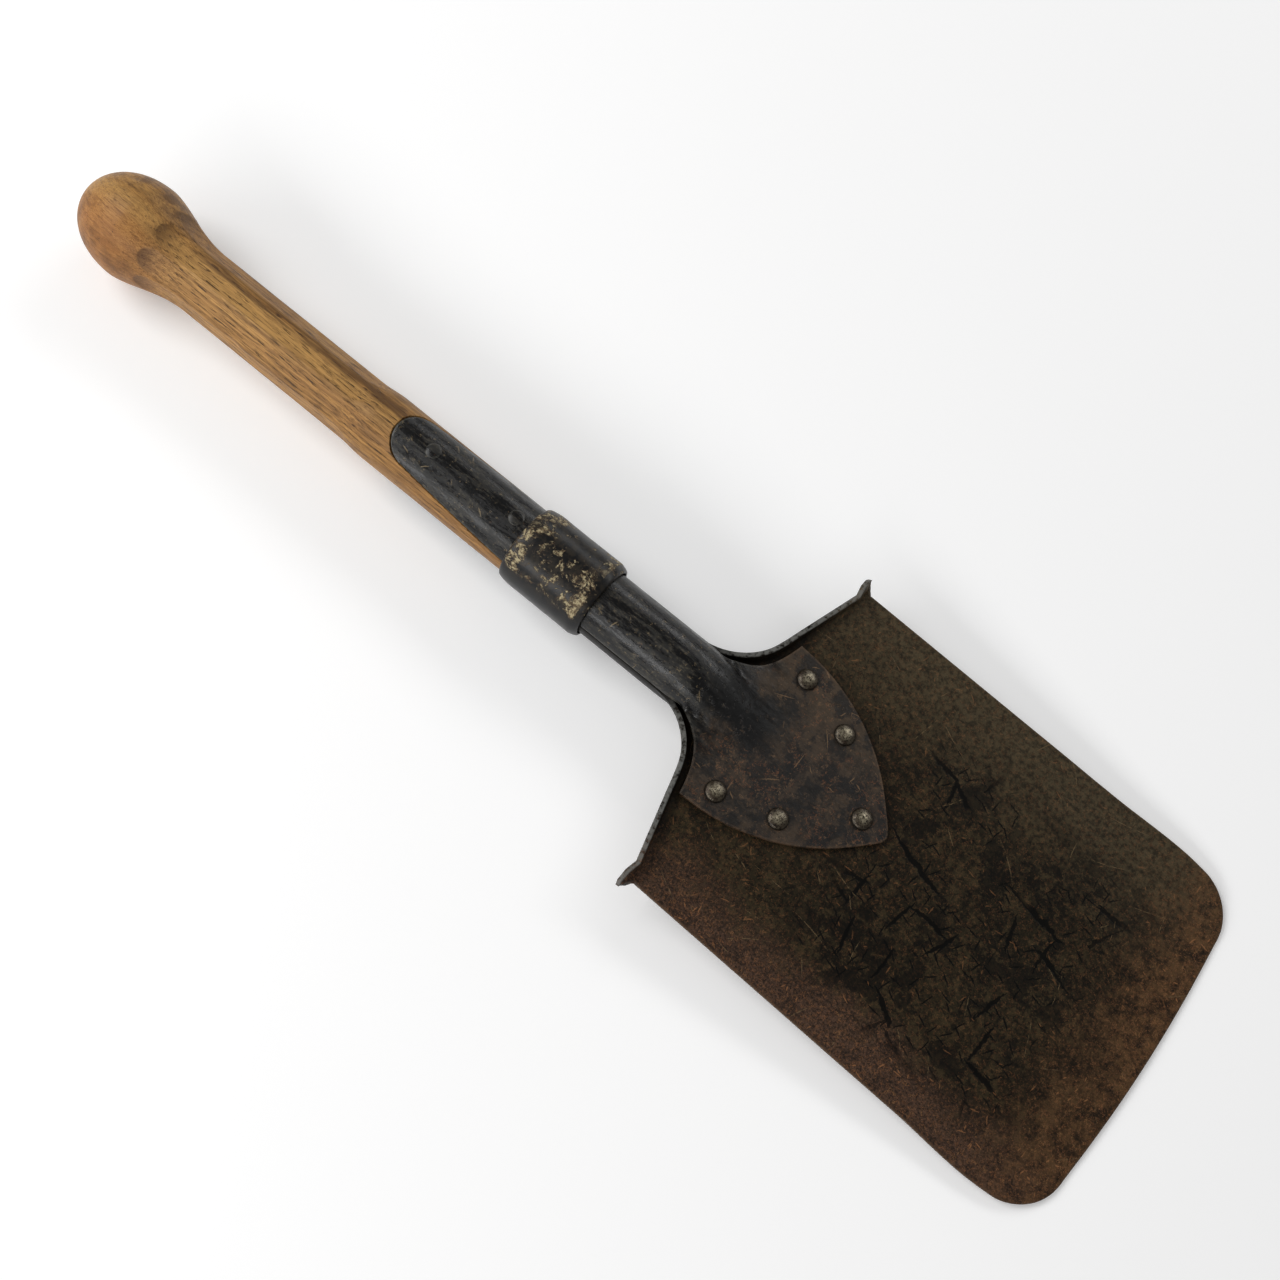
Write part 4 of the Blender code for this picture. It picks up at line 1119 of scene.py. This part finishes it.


# %% [markdown]
# Years of hands then change the wood. Dirt lies in patches, most of it on the knob, the ridges
# between the flats are dark, a long stain lies along the grip, and the knob is warmer in tone
# on the side that the palm rubs. Painted shade darkens the ends of the scoops and the knob's
# side away from the key light, and it is mixed in with the dirt.

# %% The wood's wear and finish


def handled(f, tone, knob):
    streak = f.times(f.window(f.y, 1.0, 3.0), f.window(f.y, 7.0, 5.0))
    streak = f.times(f.times(streak, f.window(f.z, 2.0, 8.0)), f.window(f.x, 45.0, 75.0))
    streak = f.times(streak, f.window(f.noise((0.03, 0.6, 0.6), 3.0), 0.34, 0.56))
    tone = f.blend(f.times(streak, 0.7), tone, paint(80, 55, 30))
    warm = f.times(f.times(knob, f.window(f.y, 3.0, -14.0)), 0.50)
    tone = f.blend(warm, tone, paint(150, 92, 44))
    dirt_and_shade = f.window(f.noise(0.07, 5.0, 0.72, shift=(4.0, 9.0, 2.0)), 0.42, 0.70)
    dirt_and_shade = f.times(dirt_and_shade, f.plus(f.times(knob, 0.40), 0.18))
    # The knob's side away from the key light, broken up by noise, is darkened as painted shade.
    far_side_shade = f.times(f.window(f.x, 8.0, 24.0), f.window(f.x, 60.0, 44.0))
    far_side_shade = f.times(far_side_shade, f.window(f.y, 1.0, 12.0))
    far_side_shade = f.times(far_side_shade, f.window(f.noise(0.16, 4.0, 0.6), 0.38, 0.62))
    # Where the flats run out into the knob, the scoops' end walls are darkened as painted shade.
    scoop_shade = f.times(f.window(f.rim, 0.02, 0.30), f.window(f.x, 54.0, 42.0))
    ridges = f.times(f.window(f.rim, 0.30, 0.02), f.window(f.x, 44.0, 58.0))
    ridges = f.times(ridges, f.window(f.noise((0.05, 0.5, 0.5), 3.0), 0.36, 0.60))
    tone = f.blend(f.times(ridges, 0.35), tone, paint(96, 64, 34))
    # Dirt and the painted shade of the scoops and the knob's far side go on as one dark mix.
    dirt_and_shade = f.math('MAXIMUM', dirt_and_shade, f.math('MAXIMUM', f.times(far_side_shade, 0.65), f.times(scoop_shade, 0.7)))
    tone = f.blend(dirt_and_shade, tone, paint(78, 50, 27))
    marks = f.times(f.specks(1.7, 0.06, (3.0, 0.0, 8.0)), f.plus(f.times(knob, 0.8), 0.1))
    return f.blend(marks, tone, paint(32, 26, 22))


def oiled_wood():
    f = Finish("oiled_ash", Coat_Weight=0.08, Coat_Roughness=0.35, Specular_IOR_Level=0.25)
    knob = f.window(f.x, 62.0, 30.0)
    tone, open_pores, fibre = wood_grain(f, knob)
    tone = handled(f, tone, knob)
    rough = f.plus(f.times(f.noise(0.3, 3.0), 0.2), 0.42)
    relief = f.math('SUBTRACT', f.times(fibre, 0.35), open_pores)
    return f.done(tone, rough, f.bump(relief, 0.14))


dress(handle, oiled_wood())

# %% [markdown]
# ## Black enamel on the straps
#
# The straps were dipped in black enamel. Where hands and dirt rub it, it has gone grey and
# dull, and small chips show rust or pale primer. Further down the shield has lost its paint
# altogether and is brown with fine rust, apart from a crust of thick black at the bulge's
# run-out, which also stands in for painted shade there.

# %% Bare steel at the strap's lower end
# Each kind of line holds its cell, length, width, share and seed.
SHIELD_LINES = ((9.0, 3.4, 0.6, 0.25, 8.0), (15.0, 9.0, 0.5, 0.30, 9.0))


def layered(f, layers):
    mask = f.scratches(*layers[0])
    for layer in layers[1:]:
        mask = f.math('MAXIMUM', mask, f.scratches(*layer))
    return mask


def bare_shield(f, fine):
    """Brown steel with rust flecks and black remains, for the lower end of the strap."""
    brown = f.blend(f.window(f.noise(0.12, 6.0, 0.74), 0.38, 0.62), paint(20, 16, 12), paint(58, 46, 34))
    warm = f.window(f.plus(f.y, f.times(f.noise(0.06, 3.0), 14.0)), 14.0, 34.0)
    brown = f.blend(f.times(warm, 0.6), brown, paint(68, 54, 38))
    brown = f.blend(f.times(f.window(fine, 0.50, 0.66), 0.35), brown, paint(86, 68, 50))
    black = f.window(f.noise(0.085, 5.0, 0.72, shift=(1.0, 6.0, 0.0)), 0.48, 0.56)
    brown = f.blend(f.times(black, 0.80), brown, paint(11, 10, 9))
    rusty = f.window(f.noise(0.06, 3.0, 0.6, shift=(3.0, 8.0, 0.0)), 0.46, 0.60)
    brown = f.blend(f.times(f.flecks(1.4, 0.45, 4.0), f.times(rusty, 0.6)), brown, paint(126, 80, 50))
    brown = f.blend(f.times(f.flecks(2.4, 0.30, 5.0), 0.5), brown, paint(116, 88, 62))
    return f.blend(f.times(layered(f, SHIELD_LINES), 0.45), brown, paint(138, 108, 76))


# %% The strap's finish


def worn_enamel():
    f = Finish("worn_black_enamel", Specular_IOR_Level=0.38)
    fine = f.noise((0.5, 1.0, 1.0), 5.0, 0.78)
    haze = f.window(f.noise((0.06, 0.34, 0.34), 5.0, 0.74), 0.44, 0.60)
    tone = f.blend(haze, paint(6, 6, 7), paint(30, 29, 26))
    dust = f.times(f.window(fine, 0.50, 0.62), f.plus(f.times(haze, 0.6), 0.15))
    tone = f.blend(dust, tone, paint(78, 72, 60))
    black = f.window(f.noise((0.05, 0.34, 0.34), 4.0, 0.65, shift=(5.0, 2.0, 7.0)), 0.50, 0.60)
    tone = f.blend(f.times(black, 0.85), tone, paint(5, 5, 6))
    lower = f.window(f.plus(f.x, f.times(f.noise(0.06, 4.0, 0.65), 34.0)), 350.0, 370.0)
    front = f.window(f.z, -1.0, 8.0)
    rust_spots = f.times(f.specks(3.6, -0.02, (6.0, 2.0, 1.0)), f.window(fine, 0.40, 0.58))
    tone = f.blend(f.times(rust_spots, 0.8), tone, paint(88, 64, 46))
    chips = f.math('MAXIMUM', f.flecks(1.8, 0.20, 6.0), f.scratches(8.0, 4.0, 0.6, 0.25, 3.0))
    tone = f.blend(f.times(f.times(chips, front), 0.8), tone, paint(122, 106, 80))
    tone = f.blend(lower, tone, bare_shield(f, fine))
    # Black where the bulge runs out: a crust of old paint, together with painted shade on the bulge's
    # flank.
    crust_and_shade = f.times(f.window(f.x, 318.0, 340.0), f.window(f.x, 370.0, 354.0))
    ragged = f.math('ABSOLUTE', f.plus(f.y, f.times(f.math('SUBTRACT', f.noise(0.15, 3.0), 0.6), 14.0)))
    crust_and_shade = f.times(crust_and_shade, f.window(ragged, 12.0, 7.0))
    crust_and_shade = f.times(crust_and_shade, f.window(f.noise(0.45, 4.0, 0.7), 0.34, 0.44))
    tone = f.blend(crust_and_shade, tone, paint(3, 3, 3))
    bare = f.blend(lower, paint(84, 82, 76), paint(96, 72, 50))
    worn = f.times(f.window(f.rim, 1.2, 0.25), f.window(f.noise(0.4, 4.0, 0.7), 0.36, 0.58))
    tone = f.blend(f.times(worn, 0.55), tone, bare)
    rough = f.plus(f.times(haze, 0.30), 0.20)
    rough = f.plus(rough, f.times(lower, 0.22))
    rough = f.plus(rough, f.times(crust_and_shade, 0.12))
    pits = f.plus(f.times(fine, 0.6), f.noise(0.40, 4.0, 0.6))
    relief = f.plus(f.times(pits, f.plus(f.times(lower, 0.5), 0.50)), f.times(crust_and_shade, 0.8))
    return f.done(tone, rough, f.bump(relief, 0.26))


enamel = worn_enamel()
dress(front_strap, enamel)
for rivet in strap_rivets:
    dress(rivet, enamel)

# %% [markdown]
# ## The collar's chips
#
# The collar took the knocks. On its front the enamel has flaked down to a cream-coloured
# primer, mostly along both ends and in ragged islands between them.

# %% The collar's finish


def chipped_enamel():
    f = Finish("chipped_black_enamel", Specular_IOR_Level=0.30)
    fine = f.noise(1.5, 4.0, 0.7)
    haze = f.window(f.noise(0.25, 4.0, 0.6), 0.42, 0.62)
    top = f.window(f.z, 5.0, 11.0)
    tone = f.blend(f.times(haze, f.plus(f.times(top, 0.7), 0.3)), paint(12, 12, 13), paint(40, 35, 28))
    broken = f.window(f.noise(0.11, 3.0, 0.6, shift=(3.0, 0.0, 0.0)), 0.42, 0.54)
    upper_end = f.window(f.x, COLLAR_START + 9.5, COLLAR_START + 5.0)
    lower_end = f.times(f.window(f.x, COLLAR_END - 12.0, COLLAR_END - 6.0),
                        f.window(f.x, COLLAR_END - BAND + 0.6, COLLAR_END - BAND))
    ends = f.math('MAXIMUM', upper_end, lower_end)
    flake = f.plus(f.noise(0.24, 7.0, 0.80, shift=(1.0, 7.0, 3.0), bend=0.6), f.times(ends, 0.055))
    front = f.times(top, f.plus(f.times(broken, 0.75), f.times(ends, 0.35)))
    bare = f.times(f.window(flake, 0.550, 0.565), f.window(front, 0.25, 0.50))
    around = f.times(f.window(flake, 0.500, 0.545), f.times(front, 0.8))
    tone = f.blend(around, tone, paint(62, 47, 33))
    stained = f.window(f.noise(0.7, 5.0, 0.78), 0.40, 0.58)
    primer = f.blend(stained, paint(178, 164, 128), paint(84, 66, 46))
    tone = f.blend(bare, tone, primer)
    rough = f.plus(f.times(f.noise(0.5, 3.0), 0.2), 0.24)
    rough = f.plus(rough, f.times(bare, 0.3))
    relief = f.math('SUBTRACT', f.times(fine, 0.25), f.times(bare, 0.9))
    return f.done(tone, rough, f.bump(relief, 0.16))


dress(collar, chipped_enamel())

# %% [markdown]
# ## The blade's old paint
#
# The blade's paint has gone dark olive brown. Along one side and at the cutting edge it has
# worn to fine red rust. Digging has left short black gouges in the middle, crossing each
# other, and thin pale scratches. Each is one pointed mark in a cell of a random net, so its
# length, width and direction are plain numbers.

# %% The blade's ground colour


def blade_ground(f, mid, grain):
    """Colours by zone: rust along one side, olive on the other, brown at the cutting edge."""
    slow = f.noise(0.022, 4.0, 0.6)
    tone = f.blend(f.window(slow, 0.36, 0.64), paint(29, 25, 16), paint(40, 34, 22))
    tone = f.blend(f.times(f.window(mid, 0.47, 0.58), 0.6), tone, paint(62, 52, 34))
    tone = f.blend(f.times(f.window(grain, 0.53, 0.43), 0.75), tone, paint(12, 11, 8))
    far = f.window(f.plus(f.y, f.times(mid, 30.0)), 34.0, 92.0)
    olive = f.blend(f.window(grain, 0.36, 0.62), paint(40, 35, 25), paint(78, 68, 50))
    tone = f.blend(f.times(far, 0.85), tone, olive)
    side = f.window(f.plus(f.y, f.times(f.noise(0.030, 5.0, 0.70), 50.0)), -20.0, -50.0)
    edge = f.window(f.plus(f.x, f.times(f.noise(0.035, 5.0, 0.70), 44.0)), 526.0, 572.0)
    red = f.blend(f.window(f.noise(1.1, 5.0, 0.78), 0.40, 0.60), paint(36, 27, 22), paint(86, 64, 52))
    red = f.blend(f.times(f.window(mid, 0.52, 0.40), 0.55), red, paint(34, 27, 23))
    tone = f.blend(f.times(side, 0.85), tone, red)
    brown = f.blend(f.window(mid, 0.38, 0.60), paint(34, 24, 16), paint(92, 66, 42))
    brown = f.blend(f.times(f.window(grain, 0.50, 0.40), 0.4), brown, paint(24, 17, 12))
    return f.blend(f.times(edge, 0.75), tone, brown), side, edge


# %% The blade's marks
# Each kind of line holds its cell, length, width, share and seed, and the gouges their
# direction and how far they stray from it too.
GOUGES = ((27.0, 21.0, 2.6, 0.55, 1.0, -14.0, 22.0), (24.0, 18.0, 2.2, 0.50, 2.0, 82.0, 24.0),
          (7.0, 6.5, 0.9, 0.70, 3.0, -20.0, 18.0), (42.0, 34.0, 3.4, 0.55, 4.0, -8.0, 25.0),
          (8.0, 6.5, 0.8, 0.60, 9.0, 70.0, 30.0))
PALE_LINES = ((24.0, 20.0, 0.50, 0.30, 5.0), (15.0, 9.0, 0.50, 0.25, 6.0))
RUST_LINES = ((10.0, 4.0, 0.60, 0.30, 7.0), (5.5, 1.9, 0.60, 0.35, 11.0))


def blade_marks(f):
    """Black gouges and worn patches in the middle of the blade."""
    middle = f.times(f.window(f.x, 396.0, 425.0), f.window(f.x, 535.0, 500.0))
    middle = f.times(middle, f.window(f.math('ABSOLUTE', f.plus(f.y, 6.0)), 66.0, 46.0))
    where = f.window(f.noise(0.032, 2.0, shift=(2.0, 5.0, 0.0)), 0.40, 0.48)
    gouges = f.times(layered(f, GOUGES), where)
    patch = f.window(f.noise(0.065, 6.0, 0.80, shift=(7.0, 1.0, 0.0)), 0.525, 0.545)
    return f.times(gouges, middle), f.times(patch, middle)


# %% The blade's finish


def blade_paint():
    f = Finish("worn_blade_paint", Specular_IOR_Level=0.10)
    mid = f.noise(0.12, 6.0, 0.74)
    grain = f.noise(0.45, 6.0, 0.76)
    fine = f.noise(1.3, 4.0, 0.75)
    tone, side, edge = blade_ground(f, mid, grain)
    rust = f.math('MAXIMUM', side, edge)
    dust = f.times(f.window(fine, 0.52, 0.66), f.plus(f.times(rust, 0.42), 0.10))
    tone = f.blend(dust, tone, paint(112, 82, 62))
    density = f.plus(f.times(rust, 0.45), 0.35)
    tone = f.blend(f.times(f.flecks(1.2, 0.50, 1.0), density), tone, paint(122, 82, 54))
    tone = f.blend(f.times(f.flecks(2.2, 0.25, 2.0), f.times(density, 0.8)), tone, paint(128, 92, 60))
    gouges, patch = blade_marks(f)
    tone = f.blend(f.times(patch, 0.70), tone, paint(12, 11, 9))
    tone = f.blend(f.times(gouges, 0.95), tone, paint(4, 4, 3))
    nests = f.window(f.noise(0.05, 3.0, 0.6, shift=(6.0, 2.0, 0.0)), 0.44, 0.56)
    tone = f.blend(f.times(f.times(layered(f, RUST_LINES), density), nests), tone, paint(140, 96, 62))
    lines = f.times(layered(f, PALE_LINES), f.window(f.noise(0.3, 3.0, 0.7), 0.42, 0.55))
    tone = f.blend(f.times(lines, 0.5), tone, paint(118, 98, 70))
    # Up to the shoulders, the blade within 5 to 10 mm of its rim is darkened: painted shade in the fold
    # of the flange, with some grime.
    flange_shade_and_grime = f.times(f.window(f.rim, 10.0, 5.0), f.window(f.x, 353.0, 346.0))
    tone = f.blend(f.times(flange_shade_and_grime, 0.75), tone, paint(9, 8, 7))
    bare = f.blend(f.window(f.x, 352.0, 360.0), paint(120, 120, 116), paint(84, 66, 50))
    worn = f.times(f.window(f.rim, 1.0, 0.2), f.window(f.noise(0.5, 4.0, 0.7), 0.34, 0.56))
    tone = f.blend(f.times(worn, 0.65), tone, bare)
    socket = f.window(f.x, 332.0, 318.0)
    tone = f.blend(socket, tone, f.blend(mid, paint(10, 10, 11), paint(34, 31, 27)))
    rough = f.plus(f.plus(f.times(mid, 0.30), 0.36), f.times(rust, 0.16))
    rough = f.math('SUBTRACT', rough, f.times(socket, 0.12))
    relief = f.plus(f.times(fine, f.plus(f.times(rust, 0.4), 0.25)), f.times(mid, 0.8))
    relief = f.math('SUBTRACT', relief, f.times(f.math('MAXIMUM', gouges, lines), 0.5))
    return f.done(tone, rough, f.bump(relief, 0.16))


dress(blade, blade_paint())

# %% [markdown]
# ## Rusty rivets
#
# The rivets' domes are rubbed dark and half bright, with brown in the dents. Each dome's top
# carries a painted highlight with its rubbed steel, and a painted shade rings its foot.

# %% The rivets' finish


def rusty_steel():
    f = Finish("rusty_steel", Specular_IOR_Level=0.5)
    mottle = f.noise(0.6, 5.0, 0.72)
    tone = f.blend(f.window(mottle, 0.40, 0.62), paint(84, 76, 62), paint(52, 40, 29))
    # Each dome's top is lighter: rubbed steel together with a painted highlight.
    rubbed_and_highlight = f.times(f.window(f.rim, 1.2, 3.4), f.window(f.noise(0.9, 4.0, 0.7), 0.38, 0.56))
    tone = f.blend(f.times(rubbed_and_highlight, 0.8), tone, paint(168, 158, 134))
    tone = f.blend(f.window(f.noise(1.6, 3.0, 0.6), 0.54, 0.62), tone, paint(20, 17, 14))
    # A dark ring at the foot of each head is painted shade.
    tone = f.blend(f.times(f.window(f.rim, 0.8, 0.0), 0.8), tone, paint(18, 14, 11))
    rough = f.plus(f.times(mottle, 0.25), 0.18)
    return f.done(tone, rough, f.bump(mottle, 0.16), 0.60)


steel = rusty_steel()
for rivet in shield_rivets:
    dress(rivet, steel)

# %% [markdown]
# ## The table under the shovel
#
# A plain pale floor. Its edge is six metres away on every side, far behind the tool. It glows
# a very little, as a paper sweep lit from all round would.

# %% Floor


def make_floor(half):
    corners = [(-half, -half, 0.0), (half, -half, 0.0), (half, half, 0.0), (-half, half, 0.0)]
    mesh = bpy.data.meshes.new("floor")
    mesh.from_pydata(corners, [], [(0, 1, 2, 3)])
    floor = bpy.data.objects.new("floor", mesh)
    bpy.context.collection.objects.link(floor)
    material = bpy.data.materials.new("pale_floor")
    material.use_nodes = True
    shader = material.node_tree.nodes["Principled BSDF"]
    shader.inputs["Base Color"].default_value = (0.96, 0.96, 0.96, 1.0)
    shader.inputs["Emission Color"].default_value = (1.0, 1.0, 1.0, 1.0)
    shader.inputs["Emission Strength"].default_value = 0.14
    shader.inputs["Roughness"].default_value = 0.9
    shader.inputs["Specular IOR Level"].default_value = 0.1
    mesh.materials.append(material)
    print("floor", 2 * half, "m across")


make_floor(6.0)

# %% [markdown]
# ## Light
#
# Steel shows its shape by what it mirrors. Two long soft boxes stand low at either side, so
# the round straps get long lights, and the blade, which mirrors what is above it, stays dark.
# A third box behind the knob lights the wood. The world adds a little even light so that no
# shadow is black, and the Standard view keeps every colour as it was mixed.

# %% Soft boxes and world


def soft_box(name, azimuth, elevation, distance, size, strength):
    """azimuth runs anticlockwise from +X on the ground; the box looks at the tool."""
    lamp = bpy.data.lights.new(name, 'AREA')
    lamp.shape = 'RECTANGLE'
    lamp.size, lamp.size_y = size
    lamp.energy = strength
    box = bpy.data.objects.new(name, lamp)
    bpy.context.collection.objects.link(box)
    a, e = math.radians(azimuth), math.radians(elevation)
    way = Vector((math.cos(a) * math.cos(e), math.sin(a) * math.cos(e), math.sin(e)))
    box.location = way * distance
    box.rotation_euler = way.to_track_quat('Z', 'Y').to_euler()
    print(f"{name}: {strength} W at {distance} m")


soft_box("left_box", 255.0, 26.0, 1.6, (2.2, 0.4), 15.0)
soft_box("right_box", 80.0, 34.0, 1.8, (2.0, 0.4), 9.0)
soft_box("handle_box", 195.0, 46.0, 1.7, (1.0, 0.8), 13.0)

world = bpy.data.worlds.new("studio")
world.use_nodes = True
world.node_tree.nodes["Background"].inputs["Color"].default_value = (1.0, 1.0, 1.0, 1.0)
world.node_tree.nodes["Background"].inputs["Strength"].default_value = 0.22
bpy.context.scene.world = world
bpy.context.scene.view_settings.view_transform = 'Standard'

# %% [markdown]
# ## The camera
#
# The camera looks down on the tool from the front. On the bench the tool would be rolled a
# little about its own length and nodded, and the picture is turned so that the knob is at
# the upper left. The matrix is built in that order and then carried over to the ground.

# %% Camera
ROLL = math.radians(-20.3)
NOD = math.radians(-7.24)
PICTURE_TURN = math.radians(38.9)
AIM = Vector((0.275, 0.0, 0.0))
SLIDE = Vector((0.0220, -0.0017, 0.607))
FOCAL = 1538.0 / 1280.0      # in widths of the picture


def make_camera():
    data = bpy.data.cameras.new("camera")
    data.sensor_width = 36.0
    data.lens = 36.0 * FOCAL
    data.clip_start, data.clip_end = 0.01, 20.0
    camera = bpy.data.objects.new("camera", data)
    bpy.context.collection.objects.link(camera)
    turned = Euler((ROLL, NOD, 0.0), 'XYZ').to_matrix().to_4x4()
    camera.matrix_world = (rigid @ Matrix.Translation(AIM) @ turned.inverted()
                           @ Matrix.Translation(SLIDE) @ Matrix.Rotation(PICTURE_TURN, 4, 'Z'))
    bpy.context.scene.camera = camera
    print("camera at", [round(v, 3) for v in camera.matrix_world.translation])


make_camera()
